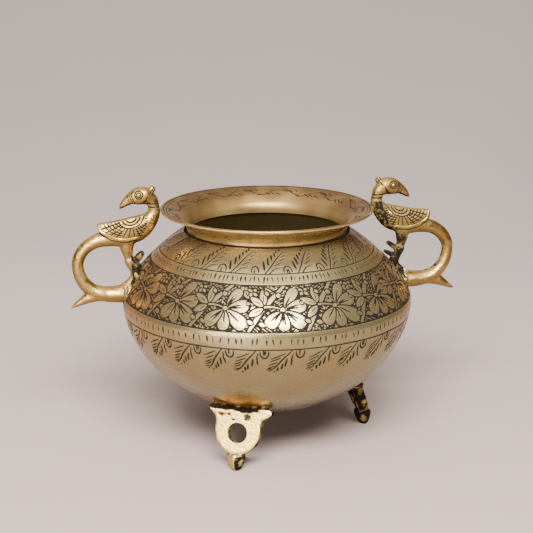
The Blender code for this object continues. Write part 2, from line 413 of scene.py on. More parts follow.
@dataclass(frozen=True)
class Finish:
    """Aged brass: its colours, its gloss and how strongly it shows the marks of its making."""

    name: str
    clean: Colour
    deep: Colour
    heat: Colour = (0.36, 0.19, 0.065)
    patina: Colour = (0.006, 0.0042, 0.003)
    metal: float = 1.0
    roughness: float = 0.3
    cloud_size: float = 45.0
    clouding: float = 0.6
    brushing: float = 0.5
    hammering: float = 0.3
    pitting: float = 0.1
    relief: float = 0.25

    def material(self) -> bpy.types.Material:
        """Builds the material, once.

        Returns:
            The material.
        """
        if self.name in bpy.data.materials:
            return bpy.data.materials[self.name]
        made = bpy.data.materials.new(self.name)
        made.use_nodes = True
        wiring = Wiring(made.node_tree)
        shader = made.node_tree.nodes["Principled BSDF"]
        tone = wiring.node("Group", node_tree=brass_tone())
        for label, value in (("Clean", self.clean), ("Deep", self.deep), ("Heat Colour", self.heat),
                             ("Patina Colour", self.patina)):
            tone.inputs[label].default_value = (*value, 1.0)
        tone.inputs["Cloud Size"].default_value = self.cloud_size
        tone.inputs["Clouding"].default_value = self.clouding
        tone.inputs["Metal"].default_value = self.metal
        wiring.feed(tone.inputs["Patina"], wiring.mask("patina"))
        wiring.feed(tone.inputs["Heat"], wiring.mask("heat_and_shade_tint"))
        marks = wiring.node("Group", node_tree=hand_marks())
        for label, value in (("Brushing", self.brushing), ("Hammering", self.hammering),
                             ("Pitting", self.pitting)):
            marks.inputs[label].default_value = value
        wiring.feed(shader.inputs["Base Color"], tone.outputs["Color"])
        wiring.feed(shader.inputs["Metallic"], tone.outputs["Metallic"])
        uneven = wiring.math("MULTIPLY", marks.outputs["Roughness"], 0.5)
        base = wiring.math("ADD", tone.outputs["Dullness"], self.roughness)
        wiring.feed(shader.inputs["Roughness"], wiring.math("ADD", base, uneven))
        shader.inputs["Specular IOR Level"].default_value = 0.05
        bump = wiring.node("Bump")
        bump.inputs["Strength"].default_value = self.relief
        bump.inputs["Distance"].default_value = 0.0004
        wiring.feed(bump.inputs["Height"], marks.outputs["Height"])
        wiring.feed(shader.inputs["Normal"], bump.outputs["Normal"])
        return made


TURNED = Finish("engraved_bowl_brass", clean=(0.257, 0.214, 0.111), deep=(0.24, 0.172, 0.07),
                roughness=0.24, metal=0.9)
# Collar: clean colour brighter than the bowl's, partly painted light on the neck; heat colour is painted
# shade inside the flare.
COLLAR = Finish("collar_brass", clean=(0.50, 0.36, 0.137), deep=(0.42, 0.27, 0.09),
                heat=(0.165, 0.097, 0.037), roughness=0.22, clouding=0.9, metal=0.82)
CAST = Finish("peacock_brass", clean=(0.375, 0.255, 0.078), deep=(0.26, 0.155, 0.042), roughness=0.23,
              clouding=0.8, brushing=0.15, hammering=0.8, pitting=0.35, relief=0.35)
# Feet: clean colour far brighter than the rest, filed brass and partly painted light that the leaning plates
# catch.
FOOT = Finish("filed_foot_brass_painted_light", clean=(0.70, 0.50, 0.155), deep=(0.52, 0.34, 0.095),
              heat=(0.72, 0.36, 0.24), roughness=0.34, clouding=0.7, hammering=0.7, pitting=0.6, relief=0.35)
BRAZE = Finish("braze_metal", clean=(0.46, 0.32, 0.12), deep=(0.22, 0.14, 0.06), roughness=0.5,
               clouding=1.0, brushing=0.0, hammering=1.0, pitting=1.0, relief=0.8)


# The turned bowl ------------------------------------------------------------------------------------------

@dataclass(frozen=True)
class BowlShape:
    """Section of the turned bowl, in millimetres."""

    belly: float
    bottom: float
    neck_height: float
    rim: float
    rim_height: float
    belly_height: float = 91.0
    neck: float = 49.7
    upper_rise: float = 64.3
    lower_power: float = 1.86
    upper_power: float = 1.453
    wall: float = 2.0
    collar_wall: float = 1.7
    lip: float = 0.9

    @classmethod
    def from_frame(cls) -> "BowlShape":
        """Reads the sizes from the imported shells.

        Returns:
            The shape.
        """
        base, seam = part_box("lower_bowl")
        foot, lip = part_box("rim_collar")
        return cls(belly=seam.x / MM, bottom=base.z / MM, neck_height=foot.z / MM - 0.3, rim=lip.x / MM,
                   rim_height=lip.z / MM)

    def radius(self, height: np.ndarray) -> np.ndarray:
        """Outside radius of the bowl.

        Args:
            height: heights in millimetres.

        Returns:
            The radius at each height.
        """
        drop = np.clip((self.belly_height - height) / (self.belly_height - self.bottom), 0, 1)
        rise = np.clip((height - self.belly_height) / self.upper_rise, 0, 1)
        under = (1 - drop**self.lower_power) ** (1 / self.lower_power)
        over = (1 - rise**self.upper_power) ** (1 / self.upper_power)
        return self.belly * np.where(height < self.belly_height, under, over)

    def section(self, top: float, foot: float, pitch: float) -> np.ndarray:
        """Outside points between two heights, evenly spaced, from the top down.

        Args:
            top: height of the first point.
            foot: height of the last point.
            pitch: largest distance between points.

        Returns:
            Array of (radius, height).
        """
        angle = np.linspace(0, pi, 4001)
        middle, half = (top + foot) / 2, (top - foot) / 2
        heights = middle + half * np.cos(angle)
        return self.respaced(np.c_[self.radius(heights), heights], pitch)

    @staticmethod
    def respaced(points: np.ndarray, pitch: float) -> np.ndarray:
        """The same line with evenly spaced points.

        Args:
            points: rows of (radius, height).
            pitch: largest distance between points.

        Returns:
            Rows of (radius, height).
        """
        run = np.r_[0, np.cumsum(np.hypot(*np.diff(points, axis=0).T))]
        place = np.linspace(0, run[-1], max(3, int(np.ceil(run[-1] / pitch)) + 1))
        return np.c_[np.interp(place, run, points[:, 0]), np.interp(place, run, points[:, 1])]

    def depth(self, radius: np.ndarray, height: np.ndarray) -> np.ndarray:
        """Rough distance outside the belly's skin, below its widest line.

        Args:
            radius: distance of each place from the axis.
            height: its height.

        Returns:
            One distance for each place, negative inside.
        """
        reach = self.belly_height - self.bottom
        drop = np.clip(self.belly_height - height, 0, None) / reach
        size = ((radius / self.belly) ** self.lower_power + drop**self.lower_power) ** (1 / self.lower_power)
        return (size - 1) * reach

    def collar(self, count: int) -> np.ndarray:
        """Outside of the collar, from the lip down to the neck.

        Args:
            count: number of points.

        Returns:
            Rows of (radius, height).
        """
        share = np.linspace(1, 0, count)
        flare = (self.rim - self.neck) * share**1.8
        height = self.neck_height + (self.rim_height - self.lip - self.neck_height) * share**0.8
        return np.c_[self.neck + flare, height]


def outward(section: np.ndarray) -> np.ndarray:
    """Unit normals of a section whose points run down its outer side.

    Args:
        section: rows of (radius, height).

    Returns:
        One normal for each point.
    """
    along = np.gradient(section, axis=0)
    along /= np.hypot(*along.T)[:, None]
    return np.c_[-along[:, 1], along[:, 0]]


@dataclass(frozen=True)
class Spot:
    """A place on a band: an angle about the bowl's axis, and millimetres down from the band's top."""

    turn: float
    down: float


class Engraving:
    """Cuts over one band: a depth, a dark fill and a tint for each vertex; the tint is painted shade inside
    the collar.
    """

    margin = 1.0

    def __init__(self, section: np.ndarray, columns: int) -> None:
        """Starts a blank sheet.

        Args:
            section: points (radius, height) of the band, one for each row.
            columns: number of vertices round the band.
        """
        self.radius = section[:, 0]
        self.down = np.r_[0, np.cumsum(np.hypot(*np.diff(section, axis=0).T))]
        self.columns = columns
        self.depth = np.zeros((len(section), columns))
        self.fill = np.zeros((len(section), columns))
        self.shade_tint = np.zeros((len(section), columns))

    @property
    def width(self) -> float:
        """Length of the band from its top to its foot."""
        return float(self.down[-1])

    def window(self, spot: Spot, box: tuple[float, float, float, float]) -> tuple:
        """The part of the sheet round a spot.

        Args:
            spot: origin of the motif.
            box: left, right, low and high edges in millimetres, x to the right and y up the band.

        Returns:
            The index of the part, and the x and y of its cells from the spot.
        """
        left, right, low, high = box
        first = int(np.searchsorted(self.down, spot.down - high))
        last = int(np.searchsorted(self.down, spot.down - low))
        rows = np.arange(max(0, first), min(len(self.down), last + 1))
        if len(rows) == 0:
            rows = np.array([min(first, len(self.down) - 1)])
        scale = self.radius[rows].mean() * tau / self.columns
        start = int(np.floor(spot.turn / tau * self.columns + left / scale)) - 1
        stop = int(np.ceil(spot.turn / tau * self.columns + right / scale)) + 1
        cells = np.arange(start, stop)
        across = (cells / self.columns * tau - spot.turn)[None, :] * self.radius[rows][:, None]
        up = np.broadcast_to((spot.down - self.down[rows])[:, None], across.shape)
        return np.ix_(rows, cells % self.columns), across, up

    def cut(self, where: tuple, distance: np.ndarray, width: np.ndarray | float, strength: float) -> None:
        """Cuts a rounded groove where the distance to its middle is under half its width.

        Args:
            where: index of the cells.
            distance: distance of each cell from the groove's middle.
            width: width of the groove, here or everywhere.
            strength: depth, as a share of the deepest cut.
        """
        share = distance / (np.asarray(width) / 2)
        groove = smooth(1.1, 0.3, share) * strength
        self.depth[where] = np.maximum(self.depth[where], groove)
        self.fill[where] = np.maximum(self.fill[where], smooth(1.5, 1.0, share) * min(1.0, strength * 1.4))

    def stroke(self, spot: Spot, points: list[tuple[float, float]] | np.ndarray, width: float,
               taper: tuple[float, float] = (1.0, 0.35), strength: float = 1.0) -> None:
        """Cuts one stroke of the graver.

        Args:
            spot: origin of the motif.
            points: the stroke's points from the origin.
            width: width in the middle of the stroke.
            taper: share of the width at its start and at its end.
            strength: depth, as a share of the deepest cut.
        """
        line = np.asarray(points, float)
        where, across, up = self.window(spot, box_round(line, width))
        run = np.r_[0, np.cumsum(np.hypot(*np.diff(line, axis=0).T))]
        total = max(run[-1], 1e-6)
        nearest = np.full(across.shape, FAR_AWAY)
        place = np.zeros(across.shape)
        for (start, stop), (begun, ended) in zip(pairwise(line), pairwise(run)):
            share, distance = to_segment(across, up, start, stop)
            closer = distance < nearest
            nearest = np.where(closer, distance, nearest)
            place = np.where(closer, (begun + share * (ended - begun)) / total, place)
        swell = taper[0] + (taper[1] - taper[0]) * place + 0.55 * np.sin(pi * place) * (1 - max(taper) * 0.45)
        self.cut(where, nearest, 1.12 * width * np.clip(swell, 0.2, 1.2), strength)

    def ring(self, down: float, width: float, strength: float = 1.0, wander: float = 0.1) -> None:
        """Cuts a line all round the band, which wanders a little as a hand-held graver does.

        Args:
            down: distance from the band's top.
            width: width of the line.
            strength: depth, as a share of the deepest cut.
            wander: how far it strays.
        """
        turn = np.arange(self.columns) / self.columns * tau
        path = down + wander * (np.sin(5 * turn + down) * 0.5 + np.sin(13 * turn + 2 * down) * 0.3)
        distance = np.abs(self.down[:, None] - path[None, :])
        share = distance / (width / 2)
        self.depth = np.maximum(self.depth, smooth(1.15, 0.15, share) * strength)
        self.fill = np.maximum(self.fill, smooth(1.5, 1.0, share) * min(1.0, strength * 1.4))

    def stand(self, where: tuple, inside: np.ndarray) -> None:
        """Clears what lies under a raised shape.

        Args:
            where: index of the cells.
            inside: distance of each cell inside the shape's edge.
        """
        cover = smooth(-0.1, 0.15, inside)
        self.depth[where] *= 1 - cover
        self.fill[where] *= 1 - cover

    def leaf(self, spot: Spot, start: tuple[float, float], angle: float, length: float, half: float,
             shape: tuple[float, float] = (0.7, 0.7), outline: float = 0.5) -> None:
        """Draws a raised leaf or petal with its outline.

        Args:
            spot: origin of the motif.
            start: root of the leaf from the origin.
            angle: direction from its root, in degrees up from the right.
            length: length of the leaf.
            half: half its greatest width.
            shape: powers that shape its root and its tip, lower being blunter.
            outline: width of the outline cut.
        """
        way = np.array([cos(radians(angle)), sin(radians(angle))])
        ends = np.array([start, start + way * length])
        where, across, up = self.window(spot, box_round(ends, half + self.margin))
        along = ((across - start[0]) * way[0] + (up - start[1]) * way[1]) / length
        aside = np.abs((up - start[1]) * way[0] - (across - start[0]) * way[1])
        root, tip = shape
        peak = root / (root + tip)
        inner = np.clip(along, 1e-4, 1 - 1e-4)
        edge = half * (inner / peak) ** root * ((1 - inner) / (1 - peak)) ** tip
        slope = edge * (root / inner - tip / (1 - inner)) / length
        inside = (edge - aside) / np.hypot(1, np.clip(slope, -6, 6))
        beyond = np.maximum(-along, along - 1) * length
        inside = np.where(beyond > 0, -np.hypot(beyond, aside), inside)
        self.stand(where, inside)
        self.cut(where, np.abs(inside), outline, 0.9)

    def stem(self, spot: Spot, points: np.ndarray, half: float, outline: float = 0.45) -> None:
        """Draws a raised stem with an outline on both sides, thinning towards its end.

        Args:
            spot: origin of the motif.
            points: the stem's points from the origin.
            half: half its width at its root.
            outline: width of the outline cut.
        """
        line = np.asarray(points, float)
        where, across, up = self.window(spot, box_round(line, half + self.margin))
        nearest = np.full(across.shape, FAR_AWAY)
        for index, (start, stop) in enumerate(pairwise(line)):
            share, distance = to_segment(across, up, start, stop)
            thin = half * (1 - 0.4 * (index + share) / (len(line) - 1))
            nearest = np.minimum(nearest, distance - thin)
        self.stand(where, -nearest)
        self.cut(where, np.abs(nearest), outline, 0.85)


class Pattern:
    """The engraver's patterns, one method to a band. Draws are random but seeded."""

    def __init__(self, seed: int) -> None:
        """Starts the pattern's own random draws."""
        self.rng = np.random.default_rng(seed)

    def around(self, count: int, loose: float, start: float = 0.0) -> np.ndarray:
        """Angles of evenly spaced spots round the band.

        Args:
            count: number of spots.
            loose: largest shift of each, as a share of the spacing.
            start: angle of the first one, in degrees.

        Returns:
            The angles in radians.
        """
        return (np.arange(count) + self.rng.uniform(-loose, loose, count)) / count * tau + radians(start)

    def ticks(self, sheet: Engraving, count: int, middle: float, length: float, loose: float) -> None:
        """Cuts a row of short upright ticks, some firm and some faint.

        Args:
            sheet: engraving of the band.
            count: number of ticks.
            middle: distance of their middles from the band's top.
            length: greatest length of a tick.
            loose: how uneven their spacing is.
        """
        for turn in self.around(count, loose):
            lean = self.rng.normal(0, 0.16)
            half = length * self.rng.uniform(0.38, 0.58)
            spot = Spot(turn, middle + self.rng.normal(0, 0.18))
            width = self.rng.uniform(0.6, 0.95)
            sheet.stroke(spot, [(-lean, half), (lean, -half)], width, (0.9, 0.3), self.rng.uniform(0.55, 1.0))

    def shoulder_fern(self, sheet: Engraving, spot: Spot) -> None:
        """Cuts an upright fern spray that leans right, with its folded bud to the left of its root.

        Args:
            sheet: engraving of the band.
            spot: root of the spray.
        """
        lean = self.rng.normal(0.0, 0.06)
        rib = curved([(0, 0), (3.0, 5.3), (6.0, 11.6), (9.7, 17.0)], 9)
        strokes = (
            (1.0, (0.8, 0.9), ((-2.0, 8.4), (-0.9, 2.6))),
            (1.05, (0.9, 0.7), ((0.3, 11.0), (1.1, 5.9))),
            (1.0, (0.9, 0.7), ((1.9, 13.1), (2.6, 9.6))),
            (0.9, (0.9, 0.7), ((3.4, 14.8), (4.0, 12.7))),
            (0.85, (0.9, 0.6), ((4.8, 16.7), (5.3, 15.0))),
            (0.8, (0.9, 0.6), ((6.2, 18.0), (6.7, 16.4))),
            (0.7, (0.9, 0.4), ((2.6, 0.1), (5.0, 3.2), (9.9, 4.8))),
            (0.75, (0.7, 0.6), ((5.0, 5.7), (9.4, 8.3))),
            (0.7, (0.7, 0.6), ((6.7, 9.0), (10.2, 11.0))),
            (0.7, (0.7, 0.5), ((8.4, 12.0), (10.9, 13.6))),
            (0.6, (0.7, 0.5), ((9.8, 14.9), (11.4, 15.9))),
        )
        sheet.stroke(spot, self.leaning(rib, lean), 0.8, (0.8, 0.6))
        for width, taper, points in strokes:
            moved = self.leaning(np.array(points) + self.rng.normal(0, 0.16, (1, 2)), lean)
            sheet.stroke(spot, moved, width, taper, self.rng.uniform(0.8, 1.0))
        self.bud(sheet, spot, (-5.9, 0.1), 1.0)

    @staticmethod
    def leaning(points: np.ndarray, lean: float) -> np.ndarray:
        """Points sheared sideways, as the graver's hand drifts."""
        return np.c_[points[:, 0] + lean * points[:, 1], points[:, 1]]

    def bud(self, sheet: Engraving, spot: Spot, root: tuple[float, float], way: float) -> None:
        """Cuts a folded bud: a horseshoe with a stroke or two in it, open towards its root.

        Args:
            sheet: engraving of the band.
            spot: origin of the motif.
            root: place of the bud's root from the origin.
            way: 1 for a bud that stands and -1 for one that hangs.
        """
        angles = np.linspace(-0.25, pi + 0.25, 13)
        wide = self.rng.uniform(2.1, 2.6)
        arch = [(root[0] + wide * cos(angle), root[1] + way * (1.6 + 3.4 * sin(angle))) for angle in angles]
        sheet.stroke(spot, arch, 0.7, (0.85, 0.85))
        for aside in (-0.35, 0.75)[:self.rng.integers(1, 3)]:
            low = (root[0] + aside, root[1] + way * 0.2)
            high = (root[0] + 0.7 * aside - 0.2, root[1] + way * 3.2)
            sheet.stroke(spot, [low, high], 0.65, (0.9, 0.5), 0.9)

    def hanging_fern(self, sheet: Engraving, spot: Spot) -> None:
        """Cuts a fern spray that hangs down to the left, with its bud to the right of its root.

        Args:
            sheet: engraving of the band.
            spot: root of the spray.
        """
        lean = self.rng.normal(0.0, 0.07)
        rib = curved([(0, 0), (-4.9, -6.0), (-7.6, -10.6), (-10.3, -13.6)], 9)
        strokes = (
            (0.75, (0.8, 0.7), ((-3.9, -1.8), (-11.0, -5.2))),
            (0.75, (0.9, 0.7), ((-5.8, -4.8), (-11.0, -7.2))),
            (0.8, (0.9, 0.7), ((-7.3, -7.4), (-11.4, -9.5))),
            (0.8, (0.9, 0.7), ((-8.3, -9.4), (-11.6, -11.1))),
            (0.75, (0.9, 0.6), ((-9.6, -11.6), (-12.0, -12.8))),
            (0.85, (0.6, 1.0), ((0.6, -1.9), (0.2, -5.5), (0.6, -8.9))),
            (1.0, (0.7, 1.0), ((-2.0, -5.6), (-2.4, -9.9))),
            (1.0, (0.7, 1.0), ((-4.1, -8.4), (-4.2, -11.6))),
            (0.95, (0.8, 0.9), ((-5.8, -11.0), (-5.7, -13.2))),
            (0.8, (1.0, 1.0), ((-7.4, -13.6), (-7.5, -14.3))),
        )
        grown = 1.08
        sheet.stroke(spot, grown * self.leaning(rib, lean), 0.75, (0.7, 0.8))
        for width, taper, points in strokes:
            moved = grown * self.leaning(np.array(points) + self.rng.normal(0, 0.18, (1, 2)), lean)
            sheet.stroke(spot, moved, 0.82 * width, taper, self.rng.uniform(0.8, 1.0))
        self.bud(sheet, spot, (4.6, -0.1), -1.0)

    def ground(self, sheet: Engraving) -> None:
        """Sinks the ground behind the flowers and hatches it, in patches of changing direction.

        Args:
            sheet: engraving of the band.
        """
        turn = np.arange(sheet.columns) / sheet.columns * tau
        across = turn[None, :] * sheet.radius.mean()
        down = np.broadcast_to(sheet.down[:, None], sheet.depth.shape)
        wander = 0.7 * np.sin(across / 3.1 + down / 2.3) + 0.5 * np.sin(across / 1.7 - down / 1.9)
        patch = np.sin(across / 5.3 + 1.3 * np.sin(down / 5)) + np.sin(down / 4.1 + across / 8.7)
        ridge = np.zeros_like(sheet.depth)
        hatching = ((62, 1.35, patch > 0.1), (128, 1.45, patch < 0.4), (8, 1.6, np.abs(patch) < 0.5))
        for angle, pitch, share in hatching:
            way = radians(angle)
            phase = (across * cos(way) + down * sin(way)) / pitch * tau + wander
            ridge = np.maximum(ridge, smooth(0.5, 0.92, np.sin(phase)) * share)
        chatter = np.sin(across * 1.9 + 2 * np.sin(down * 1.3)) + np.sin(down * 2.3 - across * 0.7)
        ridge = ridge * smooth(-0.9, 0.1, chatter)
        sheet.depth = np.maximum(sheet.depth, 1.0 - 0.75 * ridge)
        sheet.fill = np.maximum(sheet.fill, 0.99 - 0.97 * ridge)

    def flower(self, sheet: Engraving, spot: Spot) -> None:
        """Draws a broad-petalled flower with veined petals and a ringed eye, open to the lower right.

        Args:
            sheet: engraving of the band.
            spot: middle of the flower.
        """
        petals = ((56, 14.8, 3.4), (11, 13.8, 4.3), (-37, 16.6, 4.3), (-84, 12.5, 3.7), (-129, 13.9, 4.1))
        turned = self.rng.normal(0, 4)
        for angle, length, half in petals:
            tilt = angle + turned + self.rng.normal(0, 3)
            reach = length * self.rng.uniform(0.95, 1.05)
            root = (cos(radians(tilt)), sin(radians(tilt)))
            sheet.leaf(spot, root, tilt, reach - 1, half, (0.8, 0.34), 0.85)
            for aside in ((-4.5, 5.5), (0.5,))[self.rng.integers(0, 2)]:
                way = np.array([cos(radians(tilt + aside)), sin(radians(tilt + aside))])
                start, stop = 0.2 * reach, self.rng.uniform(0.58, 0.75) * reach
                sheet.stroke(spot, [start * way, stop * way], 0.75, (0.9, 0.6), 0.95)
        sheet.leaf(spot, (-1.7, 0), 0, 3.4, 1.65, (0.5, 0.5), 0.8)
        sheet.stroke(spot, [(-0.1, 0), (0.1, 0.05)], 0.5, (1, 1), 0.5)

    def sprig(self, sheet: Engraving, spot: Spot, leaves: tuple[tuple[float, ...], ...]) -> None:
        """Draws a set of pointed leaves, each with a midrib.

        Args:
            sheet: engraving of the band.
            spot: origin of the motif.
            leaves: rows of (across, up, angle, length, half width).
        """
        for across, up, angle, length, half in leaves:
            tilt = angle + self.rng.normal(0, 5)
            way = radians(tilt)
            reach = length * self.rng.uniform(0.9, 1.06)
            sheet.leaf(spot, (across, up), tilt, reach, 1.2 * half, (0.75, 0.8), 0.8)
            if reach > 7:
                root = np.array([across, up])
                way = np.array([cos(way), sin(way)])
                sheet.stroke(spot, [root + 0.25 * reach * way, root + 0.6 * reach * way], 0.5, (1, 0.4), 0.7)

    def vine(self, sheet: Engraving, turn: float) -> None:
        """Draws one repeat of the flower band: a stem from foot to head, leaves on it and a flower.

        Args:
            sheet: engraving of the band.
            turn: angle of the flower about the axis.
        """
        spot = Spot(turn, 0.53 * sheet.width)
        node = (-10.3 + self.rng.normal(0, 0.4), 1.9 + self.rng.normal(0, 0.5))
        below = curved([(-20.6, -13.6), (-16.6, -7.6), (-13.0, -2.0), node], 9)
        above = curved([node, (-6.2, 6.2), (-1.8, 11.0), (2.4, 15.8)], 9)
        self.sprig(sheet, spot, (
            (12.6, 6.4, 118, 9.0, 1.7), (7.4, 11.0, 75, 3.6, 1.3), (-16.4, 10.6, 45, 3.6, 1.1),
            (-16.4, 10.6, 135, 3.6, 1.1), (-16.4, 10.6, 225, 3.4, 1.1), (-16.4, 10.6, 315, 3.6, 1.1),
            (13.0, -9.5, 200, 4.0, 1.2), (17.0, 4.0, 60, 5.0, 1.3), (-6.0, -12.8, 70, 4.0, 1.2),
            (5.2, -13.6, 20, 4.2, 1.1), (14.6, -0.4, 30, 4.2, 1.2)))
        sheet.stem(spot, below[::-1], 1.9, 0.85)
        sheet.stem(spot, above, 1.9, 0.85)
        sheet.stem(spot, curved([node, (-6.0, 1.7), (-1.0, 0.5)], 6), 1.0, 0.75)
        self.sprig(sheet, spot, (
            (node[0] - 0.2, node[1] + 0.8, 97, 11.6, 1.9), (node[0] - 0.8, node[1] + 0.3, 151, 10.4, 2.0),
            (node[0] - 0.8, node[1] - 0.6, 214, 10.8, 1.9), (-12.0, -4.4, -30, 5.4, 1.4),
            (-14.6, -8.4, -8, 5.2, 1.4), (-17.2, -8.6, 150, 4.6, 1.3), (-3.6, 8.4, 20, 3.6, 1.5),
            (-7.6, 8.6, 120, 3.8, 1.2)))
        for across, up, size in ((9.8, 13.0, 1.3), (-5.0, -6.2, 1.2), (-19.6, 3.6, 1.2), (15.4, 12.4, 1.1)):
            sheet.leaf(spot, (across - size, up), 0, 2 * size, size, (0.5, 0.5), 0.7)
            sheet.stroke(spot, [(across - 0.1, up), (across + 0.1, up)], 0.5, (1, 1), 0.7)
        self.flower(sheet, spot)

    def lip_vine(self, sheet: Engraving, count: int, down: float, height: float) -> None:
        """Cuts a waving stem round the inside of the flare, with three strokes in each bend.

        Args:
            sheet: engraving of the band.
            count: number of bends.
            down: distance of the stem from the lip.
            height: height of the whole pattern.
        """
        radius = float(np.interp(down, sheet.down, sheet.radius))
        step = tau * radius / count
        for index, turn in enumerate(self.around(count, 0.08)):
            rise = 1 if index % 2 else -1
            spot = Spot(turn, down)
            bends = np.array([(-0.5, -0.3), (-0.1, -0.05), (0.25, 0.3), (0.62, 0.32)])
            wave = curved(bends * (step, rise * height), 7)
            sheet.stroke(spot, wave, 0.6, (0.7, 0.5), 0.8)
            for number in range(3):
                tilt = radians(35 + self.rng.normal(0, 6))
                reach = height * self.rng.uniform(0.34, 0.5)
                root = np.array([(-0.34 + 0.26 * number) * step, rise * 0.12 * height])
                tip = root + rise * reach * np.array([cos(tilt), sin(tilt)])
                sheet.stroke(spot, [root, tip], 0.62, (1.0, 0.5), 0.85)


# Heat and hand marks on the bowl --------------------------------------------------------------------------

@dataclass(frozen=True)
class Surroundings:
    """Where braze and handles have heated and stained the bowl, and how its wall is dented."""

    feet: tuple[tuple[float, float], ...]
    handles: tuple[float, ...]
    dents: Waviness = Waviness(11, 16, 60)
    ripples: Waviness = Waviness(12, 6, 16)
    stains: Waviness = Waviness(13, 8, 40)

    def dent(self, points: np.ndarray) -> np.ndarray:
        """How far the wall stands out at each point.

        Args:
            points: array of points, in millimetres.

        Returns:
            One height in millimetres for each point.
        """
        low = smooth(95, 60, points[..., 2])
        return self.dents.at(points) * (0.10 + 0.22 * low) + self.ripples.at(points) * 0.018

    def near(self, points: np.ndarray, turn: float, out: float, up: float, ragged: float) -> np.ndarray:
        """Distance from a place on the bowl, made uneven.

        Args:
            points: array of points, in millimetres.
            turn: angle of the place about the axis.
            out: its distance from the axis.
            up: its height.
            ragged: how uneven the distance is, in millimetres.

        Returns:
            One distance for each point.
        """
        place = np.array([out * cos(turn), out * sin(turn), up])
        return np.linalg.norm(points - place, axis=-1) + ragged * self.stains.at(points)

    def heat(self, points: np.ndarray) -> np.ndarray:
        """Heat tint round the feet and the ends of the handles.

        Args:
            points: array of points, in millimetres.

        Returns:
            One value from 0 to 1 for each point.
        """
        total = np.zeros(points.shape[:-1])
        for turn, out in self.feet:
            total = np.maximum(total, smooth(24, 11, self.near(points, turn, out, 35.0, 3)))
        for turn in self.handles:
            total = np.maximum(total, smooth(86, 10, self.near(points, turn, 86, 101.0, 4)) * 0.9)
        return total

    def soot(self, points: np.ndarray) -> np.ndarray:
        """Dark scale close to the handles.

        Args:
            points: array of points, in millimetres.

        Returns:
            One value from 0 to 1 for each point.
        """
        total = np.zeros(points.shape[:-1])
        for turn in self.handles:
            total = np.maximum(total, smooth(20, 4, self.near(points, turn, 84, 104.0, 5)) * 0.75)
        return total


def ring_grid(points: np.ndarray) -> tuple[np.ndarray, np.ndarray]:
    """Turns rings of points into vertices and faces.

    Args:
        points: array of rings, each with the same number of points, down the outer side and up the inner one.

    Returns:
        Vertices, and faces of four vertex numbers. The last ring joins the first one.
    """
    rings, columns = points.shape[:2]
    upper = np.repeat(np.arange(rings), columns)
    lower = (upper + 1) % rings
    here = np.tile(np.arange(columns), rings)
    there = (here + 1) % columns
    faces = np.c_[upper * columns + here, lower * columns + here,
                  lower * columns + there, upper * columns + there]
    return points.reshape(-1, 3), faces


def revolved(section: np.ndarray, columns: int) -> np.ndarray:
    """Turns a section about the bowl's axis.

    Args:
        section: points (radius, height).
        columns: number of points round the axis.

    Returns:
        Array of points with one row for each point of the section.
    """
    turn = np.arange(columns) / columns * tau
    grid = np.empty((len(section), columns, 3))
    grid[..., 0] = section[:, :1] * np.cos(turn)
    grid[..., 1] = section[:, :1] * np.sin(turn)
    grid[..., 2] = section[:, 1:]
    return grid


def wall(name: str, skin: Engraving, outer: np.ndarray, lining: Engraving, inner: np.ndarray,
         around: Surroundings, groove: float, finish: Finish, replaced: str) -> None:
    """Builds a ring of turned wall from its outer and inner sheets, both running from the top down.

    Args:
        name: name of the piece.
        skin: engraving of the outside.
        outer: section of the outside.
        lining: engraving of the inside.
        inner: section of the inside. It ends on the axis with the outside where the ring is closed by a pole.
        around: dents, heat and scale of the bowl.
        groove: depth of a full cut.
        finish: the finish that the piece wears.
        replaced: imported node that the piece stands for, whole or in part.
    """
    columns = skin.columns
    front, back = revolved(outer, columns), revolved(inner, columns)
    facing, behind = revolved(outward(outer), columns), revolved(-outward(inner), columns)
    # Heat tint and dark fill; the lining's tint and fill also carry painted shade inside the bowl and the
    # collar.
    heat = np.concatenate([np.maximum(around.heat(front), skin.shade_tint).ravel(), lining.shade_tint[::-1].ravel()])
    fill = np.concatenate([np.maximum(skin.fill, around.soot(front)).ravel(), lining.fill[::-1].ravel()])
    dent = around.dent(front)
    front = front + facing * (dent - groove * skin.depth)[..., None]
    back = back - behind * (groove * lining.depth)[..., None]
    points, faces = ring_grid(np.concatenate([front, back[::-1]]))
    masks = {"patina": fill, "heat_and_shade_tint": heat}
    mesh_piece(name, points, faces, masks, finish, (replaced,), TURNED_CREASE)


# Bands of the bowl ----------------------------------------------------------------------------------------

class Band(Enum):
    """The engraved bands of the bowl, each with its name and the heights of its top and its foot."""

    FERN_SHOULDER = ("fern_shoulder", 134.3, 122.8)
    UPPER_TICKED_BAND = ("upper_ticked_band", 122.8, 117.6)
    FLOWER_BAND = ("flower_band", 117.6, SHELL_SEAM)
    LOWER_TICKED_BAND = ("lower_ticked_band", SHELL_SEAM, 84.4)
    FERN_BELLY = ("fern_belly", 84.4, 61.0)
    BOWL_BASE = ("bowl_base", 61.0, 0.0)


